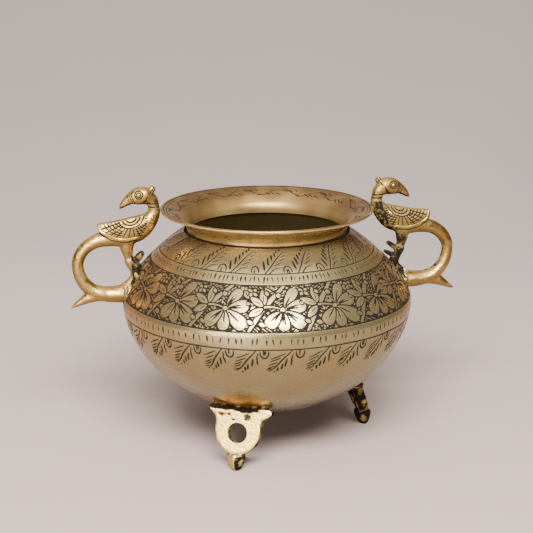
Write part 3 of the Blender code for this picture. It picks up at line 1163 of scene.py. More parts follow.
@dataclass
class TurnedBowl:
    """The two shells of the bowl, as engraved bands that meet in their dividing lines."""

    shape: BowlShape
    around: Surroundings
    pitch: float = 0.32
    fine_pitch: float = 0.26
    base_pitch: float = 0.8
    inner_pitch: float = 3.0
    groove: float = 0.13
    line: float = 0.8
    fern_count: int = 21
    hanging_count: int = 27
    flower_count: int = 16
    tick_count: int = 165
    low_tick_count: int = 128

    def engrave(self, band: Band, sheet: Engraving) -> None:
        """Cuts one band's pattern into its sheet.

        Args:
            band: the band.
            sheet: its blank engraving.
        """
        pattern = Pattern(40 + list(Band).index(band))
        match band:
            case Band.FERN_SHOULDER:
                for turn in pattern.around(self.fern_count, 0.05, 1.3):
                    pattern.shoulder_fern(sheet, Spot(turn, sheet.width - 0.4))
            case Band.UPPER_TICKED_BAND:
                pattern.ticks(sheet, self.tick_count, sheet.width / 2, 3.4, 0.16)
            case Band.FLOWER_BAND:
                pattern.ground(sheet)
                for turn in pattern.around(self.flower_count, 0.03, 17.3):
                    pattern.vine(sheet, turn)
            case Band.LOWER_TICKED_BAND:
                pattern.ticks(sheet, self.low_tick_count, sheet.width * 0.55, 3.2, 0.3)
            case Band.FERN_BELLY:
                for turn in pattern.around(self.hanging_count, 0.05, 2.2):
                    pattern.hanging_fern(sheet, Spot(turn, 0.3))
        if band is not Band.BOWL_BASE:
            sheet.ring(0.0, self.line)
        if band not in (Band.BOWL_BASE, Band.FERN_BELLY):
            sheet.ring(sheet.width, self.line)

    def build(self, band: Band) -> None:
        """Builds one band as a closed ring of wall, engraved outside and plain inside.

        Args:
            band: the band.
        """
        name, top, foot = band.value
        base = band is Band.BOWL_BASE
        pitch = {Band.FLOWER_BAND: self.fine_pitch, Band.BOWL_BASE: self.base_pitch}.get(band, self.pitch)
        outer = self.shape.section(top, self.shape.bottom if base else foot, 0.9 * pitch)
        columns = int(tau * outer[:, 0].max() / pitch)
        inner = BowlShape.respaced(outer - outward(outer) * self.shape.wall, self.inner_pitch)
        if base:
            outer[-1, 0] = inner[-1, 0] = POLE
            inner[-1, 1] = self.shape.bottom + self.shape.wall
        skin, lining = Engraving(outer, columns), Engraving(inner, columns)
        self.engrave(band, skin)
        # Inside darker all over: tarnish and painted shade of the closed-in hollow; more painted shade just
        # under the neck.
        lining.fill += 0.42
        if band is Band.FERN_SHOULDER:
            lining.fill += 0.3 * smooth(6, 3, lining.down)[:, None]
        shell = "shoulder_shell" if foot >= SHELL_SEAM else "lower_bowl"
        wall(name, skin, outer, lining, inner, self.around, self.groove, TURNED, shell)

    def build_all(self) -> None:
        """Builds every band."""
        for band in Band:
            self.build(band)


@dataclass
class Collar:
    """The flared collar, with a waving vine cut inside its flare and a soldered seam up its neck."""

    shape: BowlShape
    around: Surroundings
    pitch: float = 0.34
    row_pitch: float = 0.3
    groove: float = 0.17
    vine_count: int = 28
    seam_turn: float = radians(-96)
    hem: float = 1.5

    def sections(self) -> tuple[np.ndarray, np.ndarray]:
        """Sections of the collar, both from the top of the lip down to the neck.

        Returns:
            The outer and the inner section.
        """
        outer = self.shape.collar(600)
        facing = outward(outer)
        inner = outer - facing * self.shape.collar_wall
        middle = (outer[0] + inner[0]) / 2
        side, up = facing[0], np.array([-facing[0, 1], facing[0, 0]])
        half = self.shape.collar_wall / 2
        inner = np.vstack([inner, inner[-1] - (0.0, self.hem)])
        arc = np.linspace(pi / 2, 0.15, 12)[:, None]
        aside, above = side * np.cos(arc) * half, up * np.sin(arc) * 1.05 * half
        return (BowlShape.respaced(np.vstack([middle + aside + above, outer]), self.row_pitch),
                BowlShape.respaced(np.vstack([middle - aside + above, inner]), self.row_pitch))

    def build(self) -> None:
        """Builds the collar."""
        outer, inner = self.sections()
        columns = int(tau * outer[:, 0].max() / self.pitch)
        skin, lining = Engraving(outer, columns), Engraving(inner, columns)
        skin.ring(2.6, 0.35, 0.35)
        seams = ((self.seam_turn, 0.2, 13.0, 0.35), (self.seam_turn + 2.1, -0.3, 8.0, 0.2))
        for turn, lean, length, strength in seams:
            spot = Spot(turn, skin.width)
            skin.stroke(spot, [(lean, length), (0, length / 2), (-lean, 0.4)], 0.45, (0.6, 1.0), strength)
        lining.ring(2.3, 0.55, 0.7)
        lining.ring(4.0, 0.5, 0.6)
        Pattern(71).lip_vine(lining, self.vine_count, 8.8, 9.5)
        turn = np.arange(columns) / columns * tau
        sides = 0.08 + 0.92 * np.abs(np.cos(turn)) ** 3
        smudge = smooth(5.5, 0.5, skin.width - skin.down)[:, None] * sides[None, :]
        cloud = self.around.stains.at(revolved(outer, columns))
        skin.fill = np.maximum(skin.fill, np.clip(smudge * (0.55 + 0.7 * cloud), 0, 0.85))
        # Painted shade inside: fill growing down into the throat, with tarnish, and a dark tint over the
        # flare, most near the lip.
        depth = (0.05 + smooth(12, 24, lining.down) * 0.4)[:, None]
        stain = self.around.stains.at(revolved(inner, columns))
        lining.shade_tint = np.clip((0.72 + 0.28 * smooth(17, 9, lining.down))[:, None] * (1 + 0.25 * stain), 0, 1)
        lining.fill = np.maximum(lining.fill, np.broadcast_to(depth, lining.fill.shape))
        lining.fill[lining.down < 1.0] = 0
        wall("flared_collar", skin, outer, lining, inner, self.around, self.groove, COLLAR, "rim_collar")


# Castings -------------------------------------------------------------------------------------------------

def blended(first: np.ndarray, second: np.ndarray, width: float) -> np.ndarray:
    """The smaller of two distances, with a fillet where they meet.

    Args:
        first: distances from one solid.
        second: distances from the other.
        width: width of the fillet.

    Returns:
        Distances from both together.
    """
    share = np.clip(0.5 + 0.5 * (second - first) / width, 0, 1)
    return second * (1 - share) + first * share - width * share * (1 - share)


def along_line(points: np.ndarray, line: np.ndarray) -> tuple[np.ndarray, np.ndarray]:
    """Nearest distance from flat points to a line of changing radius.

    Args:
        points: array with two coordinates on its last axis.
        line: rows of (first, second, radius).

    Returns:
        The distance to the line's middle and the radius there, where the line's skin is nearest.
    """
    best = np.full(points.shape[:-1], FAR_AWAY)
    radius = np.zeros(points.shape[:-1])
    middle = np.zeros(points.shape[:-1])
    for start, stop in pairwise(line):
        share, distance = to_segment(points[..., 0], points[..., 1], start[:2], stop[:2])
        thick = start[2] + (stop[2] - start[2]) * share
        nearer = distance - thick < best
        best = np.where(nearer, distance - thick, best)
        radius = np.where(nearer, thick, radius)
        middle = np.where(nearer, distance, middle)
    return middle, radius


def within(points: np.ndarray, outline: np.ndarray) -> np.ndarray:
    """Signed distance from flat points to a closed outline.

    Args:
        points: array with two coordinates on its last axis.
        outline: corners of the outline in order.

    Returns:
        One distance for each point, negative inside.
    """
    across, up = points[..., 0], points[..., 1]
    best = np.full(across.shape, FAR_AWAY)
    inside = np.zeros(across.shape, bool)
    for start, stop in zip(outline, np.roll(outline, -1, axis=0)):
        best = np.minimum(best, to_segment(across, up, start, stop)[1])
        if start[1] != stop[1]:
            crosses = (start[1] > up) != (stop[1] > up)
            place = start[0] + (up - start[1]) * (stop[0] - start[0]) / (stop[1] - start[1])
            inside ^= crosses & (across < place)
    return np.where(inside, -best, best)


def cast_piece(name: str, points: np.ndarray, faces: np.ndarray, patina: np.ndarray, finish: Finish,
               heat_and_shade_tint: np.ndarray | None = None) -> None:
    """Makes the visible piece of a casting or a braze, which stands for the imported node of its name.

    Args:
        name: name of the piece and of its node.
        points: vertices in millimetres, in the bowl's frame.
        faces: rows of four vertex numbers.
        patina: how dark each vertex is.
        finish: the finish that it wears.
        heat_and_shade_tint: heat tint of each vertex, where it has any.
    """
    masks = {"patina": patina, "heat_and_shade_tint": np.zeros(len(points)) if heat_and_shade_tint is None else heat_and_shade_tint}
    mesh_piece(name, points, faces, masks, finish, (name,), CAST_CREASE)


class Casting:
    """A solid held as signed distances on a grid of cells, in the maker's frame of one casting."""

    empty = 60.0
    steps = 3.0

    def __init__(self, low: tuple[float, ...], high: tuple[float, ...], pitch: float) -> None:
        """Starts an empty block.

        Args:
            low: lowest corner, in millimetres.
            high: highest corner.
            pitch: size of a cell.
        """
        self.low, self.pitch = np.array(low, float), pitch
        axes = [np.arange(start, stop, pitch) for start, stop in zip(low, high)]
        self.x, self.y, self.z = np.meshgrid(*axes, indexing="ij", sparse=True)
        self.field = np.full([len(axis) for axis in axes], self.empty, np.float32)
        self.plane = np.stack(np.meshgrid(axes[0], axes[2], indexing="ij"), axis=-1)

    def cells(self) -> np.ndarray:
        """Places of all cells, with x, y, z on the last axis."""
        return np.stack(np.broadcast_arrays(self.x, self.y, self.z), axis=-1)

    def keep_outside(self, distance: np.ndarray) -> None:
        """Takes away what lies inside a surface, given as distances outside it."""
        self.field = np.maximum(self.field, -distance).astype(np.float32)

    def join(self, distance: np.ndarray, fillet: float) -> None:
        """Adds a solid, given as distances, with a fillet."""
        self.field = blended(self.field, distance, fillet).astype(np.float32)

    def cut(self, distance: np.ndarray, fillet: float) -> None:
        """Takes a solid away, with a rounded edge."""
        self.field = -blended(-self.field, distance, fillet).astype(np.float32)

    def bar(self, points: list[tuple[float, float, float]], fillet: float, roundness: float = 2.0,
            count: int = 30, aside: float = 0.0) -> None:
        """Adds a bar along a smooth line in the upright plane.

        Args:
            points: rows of (out, up, radius).
            fillet: fillet to the rest.
            roundness: power of its section, 2 for a round one and less for a creased one.
            count: number of steps along it.
            aside: sideways place of its far end.
        """
        line = curved(points, count)
        middle, radius = along_line(self.plane, line)
        share = np.clip((self.plane[..., 0] - line[0, 0]) / (line[-1, 0] - line[0, 0] or 1), 0, 1)
        side = np.abs(self.y - (share * aside)[:, None, :])
        total = (np.abs(middle)[:, None, :] ** roundness + side**roundness) ** (1 / roundness)
        self.join(total - radius[:, None, :], fillet)

    def egg(self, centre: tuple[float, float, float], half: tuple[float, float, float], tilt: float,
            fillet: float) -> None:
        """Adds an egg shape.

        Args:
            centre: its middle.
            half: half its length, breadth and height.
            tilt: angle by which its nose points down, in degrees.
            fillet: fillet to the rest.
        """
        way = cos(radians(tilt)), sin(radians(tilt))
        out, up = self.x - centre[0], self.z - centre[2]
        along = (out * way[0] - up * way[1]) / half[0]
        across = (out * way[1] + up * way[0]) / half[2]
        size = np.sqrt(along**2 + across**2 + ((self.y - centre[1]) / half[1]) ** 2)
        self.join((size - 1) * min(half), fillet)

    def at(self, points: np.ndarray) -> np.ndarray:
        """Distances at any points, between the cells.

        Args:
            points: rows of (x, y, z).

        Returns:
            One distance for each point.
        """
        place = np.clip((points - self.low) / self.pitch, 0, np.array(self.field.shape) - 1.001)
        first = place.astype(int)
        share = place - first
        total = np.zeros(len(points))
        for corner in np.ndindex(2, 2, 2):
            weight = np.prod(np.where(corner, share, 1 - share), axis=1)
            total += weight * self.field[tuple((first + corner).T)]
        return total

    def normals(self, points: np.ndarray) -> tuple[np.ndarray, np.ndarray]:
        """Outward directions at points, and the steepness of the field there.

        Args:
            points: rows of (x, y, z).

        Returns:
            Unit directions, and one steepness for each.
        """
        step = self.pitch
        grad = np.stack([(self.at(points + way) - self.at(points - way)) / (2 * step)
                         for way in np.eye(3) * step], axis=1)
        size = np.linalg.norm(grad, axis=1) + 1e-9
        return grad / size[:, None], size

    def skin(self) -> tuple[np.ndarray, np.ndarray]:
        """The solid's surface, drawn onto the field.

        Returns:
            Vertices in millimetres, and faces of four vertex numbers.
        """
        grid = openvdb.FloatGrid(background=self.steps)
        grid.copyFromArray(np.clip(self.field / self.pitch, -self.steps, self.steps).astype(np.float32))
        grid.gridClass = openvdb.GridClass.LEVEL_SET
        points, quads = grid.convertToQuads(0.0)
        points = points.astype(float) * self.pitch + self.low
        for _ in range(2):
            facing, size = self.normals(points)
            points -= facing * np.clip(self.at(points) / size, -0.2, 0.2)[:, None]
        return points, quads[:, ::-1]

    def hollow(self, points: np.ndarray, facing: np.ndarray, reach: float) -> np.ndarray:
        """How deep each point lies in a recess.

        Args:
            points: vertices of the skin.
            facing: their normals.
            reach: how far out the air is felt.

        Returns:
            One value from 0 to 1 for each point.
        """
        open_air = self.at(points + facing * reach) / reach
        return np.clip(1 - open_air, 0, 1)

    def edge(self, points: np.ndarray, facing: np.ndarray, reach: float) -> np.ndarray:
        """How sharply each point stands out on an edge, from 0 to 1."""
        return np.clip(1 + self.at(points - facing * reach) / reach, 0, 1)


@dataclass
class Marks:
    """Cuts and beads on a casting's sides: what they add to its height, and their dark fill."""

    out: np.ndarray
    up: np.ndarray
    height: np.ndarray = field(init=False)
    fill: np.ndarray = field(init=False)

    def __post_init__(self) -> None:
        """Starts without marks."""
        self.height = np.zeros(len(self.out))
        self.fill = np.zeros(len(self.out))

    def line(self, points: np.ndarray | list[tuple[float, float]], width: float, depth: float,
             where: np.ndarray | float = 1.0, dark: float = 1.0) -> None:
        """Cuts a groove along a line in the upright plane.

        Args:
            points: rows of (out, up).
            width: width of the groove.
            depth: its depth.
            where: how far each vertex takes the cut.
            dark: how dark its fill is.
        """
        line = np.asarray(points, float)
        spots = np.c_[self.out, self.up]
        left, right, low, high = box_round(line, width)
        near = (self.out > left) & (self.out < right) & (self.up > low) & (self.up < high)
        middle, _ = along_line(spots[near], np.c_[line, np.zeros(len(line))])
        share = middle / (width / 2)
        weight = np.broadcast_to(where, self.out.shape)[near]
        self.height[near] -= smooth(1.2, 0.1, share) * depth * weight
        self.fill[near] = np.maximum(self.fill[near], smooth(1.7, 0.95, share) * weight * dark)

    def bead(self, centre: tuple[float, float], radius: float, height: float, where: np.ndarray) -> None:
        """Raises a round bead.

        Args:
            centre: its middle (out, up).
            radius: its radius.
            height: its height.
            where: how far each vertex takes it.
        """
        distance = np.hypot(self.out - centre[0], self.up - centre[1]) / radius
        self.height += np.sqrt(np.clip(1 - distance**2, 0, 1)) * height * where

    def circle(self, centre: tuple[float, float], radius: float, width: float, depth: float,
               where: np.ndarray) -> None:
        """Cuts a round groove.

        Args:
            centre: its middle (out, up).
            radius: its radius.
            width: width of the groove.
            depth: its depth.
            where: how far each vertex takes the cut.
        """
        distance = np.abs(np.hypot(self.out - centre[0], self.up - centre[1]) - radius) / (width / 2)
        self.height -= smooth(1.2, 0.1, distance) * depth * where
        self.fill = np.maximum(self.fill, smooth(1.7, 0.95, distance) * where)


class Side(Enum):
    """The two handles, each with its turn about the bowl's axis in degrees."""

    LEFT = 180
    RIGHT = 0


@dataclass
class PeacockHandle:
    """A handle cast as a peacock whose tail curls down into a ring. Rows are (out, up, radius)."""

    side: Side
    shape: BowlShape
    pitch: float = 0.27
    neck: tuple = ((79.0, 138.2, 5.0), (73.3, 142.2, 4.9), (69.9, 147.0, 3.9), (69.9, 151.0, 3.5),
                   (71.2, 155.0, 3.9), (74.5, 157.6, 4.3))
    tail: tuple = ((90.0, 132.2, 5.2), (98.5, 132.3, 5.0), (106.0, 130.5, 4.2), (112.2, 126.6, 3.9),
                   (116.0, 120.8, 3.7), (116.8, 115.5, 3.6), (115.6, 109.5, 3.7), (112.8, 104.3, 4.0),
                   (107.8, 99.7, 4.4), (101.0, 97.5, 4.8), (94.5, 97.0, 5.2), (84.0, 97.2, 5.7))
    spur: tuple = ((104.0, 97.0, 3.6), (110.5, 95.7, 3.4), (114.8, 93.6, 2.4), (118.6, 91.4, 1.4),
                   (121.5, 89.8, 0.45))
    leg: tuple = ((86.6, 130.5, 4.6), (86.8, 126.0, 4.0), (86.4, 122.2, 3.1), (85.8, 119.8, 2.6),
                  (85.3, 117.6, 3.1), (84.5, 115.2, 2.7), (83.4, 112.9, 2.2), (82.5, 110.9, 2.7),
                  (81.4, 108.6, 2.3), (80.0, 105.5, 2.1), (79.2, 103.5, 2.6))
    beak: tuple = ((80.2, 157.6, 4.6), (83.6, 156.3, 3.5), (86.8, 154.2, 2.5), (89.0, 152.2, 1.5),
                   (90.3, 150.9, 0.6))
    eye: tuple[float, float] = (79.2, 159.1)
    wing_half: float = 5.1
    wing_back: tuple = ((103.9, 141.6), (100.0, 142.0), (96.0, 142.5), (91.0, 143.2), (86.0, 144.3),
                        (81.0, 145.3), (76.5, 146.2))
    wing_front: tuple = ((74.4, 144.6), (74.2, 141.0), (75.3, 138.0), (77.6, 134.3), (81.6, 131.7),
                         (86.4, 130.9), (91.0, 131.2), (96.0, 132.5), (100.2, 134.8), (103.4, 137.6),
                         (104.5, 140.2))

    def claws(self) -> tuple:
        """Claws of this bird.

        Returns:
            Rows of each claw, with the sideways place of its tip.
        """
        if self.side is Side.LEFT:
            return (
                (((84.8, 115.6, 2.0), (82.0, 117.4, 2.3), (79.4, 119.9, 2.3), (77.9, 121.6, 1.9)), -0.6),
                (((84.0, 113.4, 1.9), (81.4, 114.6, 2.2), (80.2, 115.0, 1.8)), 1.6),
            )
        return (
            (((85.4, 116.9, 2.0), (82.2, 118.4, 1.7), (79.6, 120.2, 1.6), (77.6, 121.6, 1.3)), -0.4),
            (((84.0, 112.6, 1.9), (80.8, 113.6, 1.7), (78.3, 114.6, 1.5), (76.2, 115.6, 1.0)), 1.4),
        )

    def wing(self) -> np.ndarray:
        """Outline of the folded wings."""
        return curved([*self.wing_back, *self.wing_front, self.wing_back[0]], 90)[:-1]

    def solid(self) -> Casting:
        """Casts the bird, cut to the bowl's shoulder.

        Returns:
            The casting.
        """
        cast = Casting((63, -8.4, 86), (124, 8.4, 167), self.pitch)
        cast.bar(self.neck, 2.0)
        cast.egg((82.8, 0, 136.4), (12.8, 5.5, 7.7), 18, 2.5)
        cast.bar(self.tail, 2.2, 1.7, 60)
        cast.bar(self.spur, 1.4, 1.9)
        cast.bar(self.leg, 1.4)
        for points, aside in self.claws():
            cast.bar(points, 0.9, 2.0, 14, aside)
        cast.bar([(90.0, 98.5, 3.6), (86.4, 102.6, 2.9), (83.0, 106.5, 2.6), (81.2, 109.5, 2.3)], 1.8)
        cast.egg((77.4, 0, 157.9), (6.3, 4.7, 5.3), 14, 2.0)
        cast.bar(self.beak, 1.6, 2.2)
        cast.egg((70.6, 0, 161.75), (2.0, 2.0, 2.1), 0, 0.7)
        cast.egg((72.0, 0, 160.4), (1.7, 2.3, 1.6), 0, 0.8)
        edge = within(cast.plane, self.wing())
        below = 147.4 - 0.21 * (cast.plane[..., 0] - 76) - cast.plane[..., 1]
        bulge = self.wing_half - 3.2 * smooth(6.5, 0.0, below) + 0.8 * smooth(0, -6, edge)
        plate = np.abs(cast.y) - bulge[:, None, :]
        cast.join(-blended(-plate, -edge[:, None, :], 0.7), 0.25)
        radius = np.hypot(cast.x, cast.y)
        cast.keep_outside((radius - self.shape.radius(np.minimum(cast.z, 150))) * 0.8 + 0.6)
        return cast

    def feather_marks(self, marks: Marks, side: np.ndarray) -> None:
        """Cuts the wings: a border, three hanging arcs, rays and the cross lines between them.

        Args:
            marks: the cuts so far.
            side: how squarely each vertex faces sideways.
        """
        spots = np.c_[marks.out, marks.up]
        edge = within(spots, self.wing())
        front = curved([*self.wing_front[4:], (105.0, 141.4)], 40)
        reach, _ = along_line(spots, np.c_[front, np.zeros(len(front))])
        border = smooth(0.4, 0.1, np.abs(reach - 2.0)) * smooth(0.0, -0.6, edge) * side * 0.7
        marks.height += 0.12 * smooth(2.0, 1.4, reach) * smooth(0.0, -0.6, edge) * side - 0.34 * border
        under = smooth(1.3, 0.5, reach) * smooth(-0.15, 0.15, edge) * side
        marks.fill = np.maximum.reduce([marks.fill, border, under])
        centre = np.array([84.0, 145.0])
        field_zone = side * (edge < -0.15) * (reach > 2.15)
        angles = np.linspace(0, pi, 17)
        for wide, deep in ((3.2, 2.5), (5.4, 4.1), (7.6, 5.7)):
            arc = centre + np.c_[wide * np.cos(angles), -deep * np.sin(angles) - 0.16 * wide * np.cos(angles)]
            marks.line(arc, 0.72, 0.32, field_zone)
        for angle in np.linspace(184, 356, 16):
            way = np.array([cos(radians(angle)), sin(radians(angle))])
            start = centre + way * (8.4, 6.5)
            marks.line([start, start + way * (16, 9)], 0.6, 0.3, field_zone)
        ends = smooth(3.0, 5.0, np.abs(marks.out - 85.5))
        for wide in (10.6, 12.9, 15.2, 17.4):
            arc = centre + np.c_[wide * np.cos(angles), -wide * 0.64 * np.sin(angles)]
            marks.line(arc, 0.6, 0.28, field_zone * ends)
        marks.fill = np.maximum(marks.fill, 0.25 * field_zone)

    def marks(self, points: np.ndarray, facing: np.ndarray) -> Marks:
        """Cuts the eye, beak, neck ring and feathers.

        Args:
            points: vertices of the skin.
            facing: their normals.

        Returns:
            The marks.
        """
        marks = Marks(points[:, 0], points[:, 2])
        side = smooth(0.35, 0.7, np.abs(facing[:, 1]))
        self.feather_marks(marks, side)
        marks.bead(self.eye, 1.15, 0.55, side)
        marks.circle(self.eye, 1.4, 0.5, 0.2, side)
        marks.circle(self.eye, 2.35, 0.65, 0.32, side)
        for low, high in (((66.0, 150.8), (74.6, 151.2)), ((66.0, 152.9), (75.0, 153.2))):
            marks.line([low, high], 0.75, 0.36)
        marks.line(curved([(77.9, 153.4), (76.2, 154.4), (74.9, 155.9), (74.1, 157.6)], 9), 0.75, 0.34, side)
        marks.line(curved([(76.6, 153.2), (75.2, 154.3), (74.2, 155.6)], 6), 0.4, 0.18, side)
        marks.line([(90.2, 150.9), (84.3, 153.4)], 0.7, 0.32)
        for out in (82.7, 83.9, 85.3):
            marks.line([(out - 1.6, 152.6), (out + 1.1, 158.6)], 0.55, 0.28)
        marks.line([(69.0, 163.8), (72.6, 159.0)], 0.65, 0.34)
        return marks

    def soot(self, points: np.ndarray) -> np.ndarray:
        """Dark scale: little on the left bird, much on the right one's breast, legs and ring.

        Args:
            points: vertices of the skin.

        Returns:
            One value from 0 to 1 for each point.
        """
        cloud = Waviness(31 + self.side.value, 3, 14).at(points) + 0.7 * Waviness(32, 0.8, 3).at(points)
        out, up = points[:, 0], points[:, 2]
        claws = smooth(86.0, 83.5, out) * smooth(126, 123, up) * smooth(98, 104, up)
        root = smooth(93, 89, out) * smooth(108, 103, up) * 0.45
        if self.side is Side.LEFT:
            return np.clip(claws * (1.0 + 0.3 * cloud) + root * (0.6 + 0.6 * cloud), 0, 0.93)
        breast = smooth(80, 73, out + (up - 140) * 0.35) * smooth(151, 148, up) * smooth(116, 124, up)
        legs = smooth(93, 87, out) * smooth(134, 127, up) * smooth(99, 104, up)
        ring = smooth(1.6, -0.4, np.hypot(out - 101.0, up - 114.9) - 12.6)
        total = np.minimum(1.1, 1.1 * breast + legs + 0.85 * ring + claws + 1.2 * root)
        return np.clip(total * (0.93 + 0.22 * cloud), 0, 0.96)

    def build(self) -> None:
        """Casts, engraves and places the handle."""
        cast = self.solid()
        points, faces = cast.skin()
        facing, _ = cast.normals(points)
        marks = self.marks(points, facing)
        rough = Waviness(23 + self.side.value, 1.6, 7).at(points) * 0.05
        # Recesses darker: patina in the hollows, and painted shade.
        hollow = smooth(0.12, 0.55, cast.hollow(points, facing, 1.3))
        edge = smooth(0.25, 0.7, cast.edge(points, facing, 0.8))
        # Painted shade: edges facing neither side, and undersides, darker as if they caught less light.
        turned = 0.75 * smooth(0.8, 0.15, np.abs(facing[:, 1])) + 0.3 * smooth(-0.2, -0.9, facing[:, 2])
        cloud = Waviness(81 + self.side.value, 2.5, 12).at(points)
        patina = np.maximum.reduce([marks.fill, 0.9 * hollow, turned * np.clip(0.9 + 0.3 * cloud, 0, 1),
                                    0.24 + 0.2 * cloud])
        patina = np.maximum(patina, self.soot(points) * (1 - 0.6 * edge)) * (1 - 0.35 * edge)
        points = points + facing * (marks.height + rough)[:, None]
        turn = radians(self.side.value)
        name = f"{self.side.name.lower()}_peacock_handle"
        cast_piece(name, spun(points, turn), faces, patina, CAST)
        self.braze(turn)

    def braze(self, turn: float) -> None:
        """Builds the rough braze at the tail and at the perch.

        Args:
            turn: angle of the handle about the bowl's axis.
        """
        side = self.side.name.lower()
        darkest = 0.55 if self.side is Side.LEFT else 0.95
        for place, centre, half, tilt in (("tail", (88.2, 0, 97.4), (2.3, 7.0, 6.9), 6),
                                          ("perch", (80.9, 0, 107.6), (1.9, 4.2, 4.2), 38)):
            low = (centre[0] - 7, -11, centre[2] - 11)
            high = (centre[0] + 7, 11, centre[2] + 11)
            cast = Casting(low, high, BRAZE_PITCH)
            cast.egg(centre, half, tilt, 0.5)
            cast.field += (Waviness(51 + len(place), 2.2, 7).at(cast.cells()) * 0.3).astype(np.float32)
            cast.keep_outside((np.hypot(cast.x, cast.y) - self.shape.radius(cast.z)) * 0.8 + 0.9)
            points, faces = cast.skin()
            patina = smooth(-0.5, 0.3, Waviness(57, 2.0, 7).at(points)) * darkest
            cast_piece(f"{side}_{place}_braze", spun(points, turn), faces, patina, BRAZE)


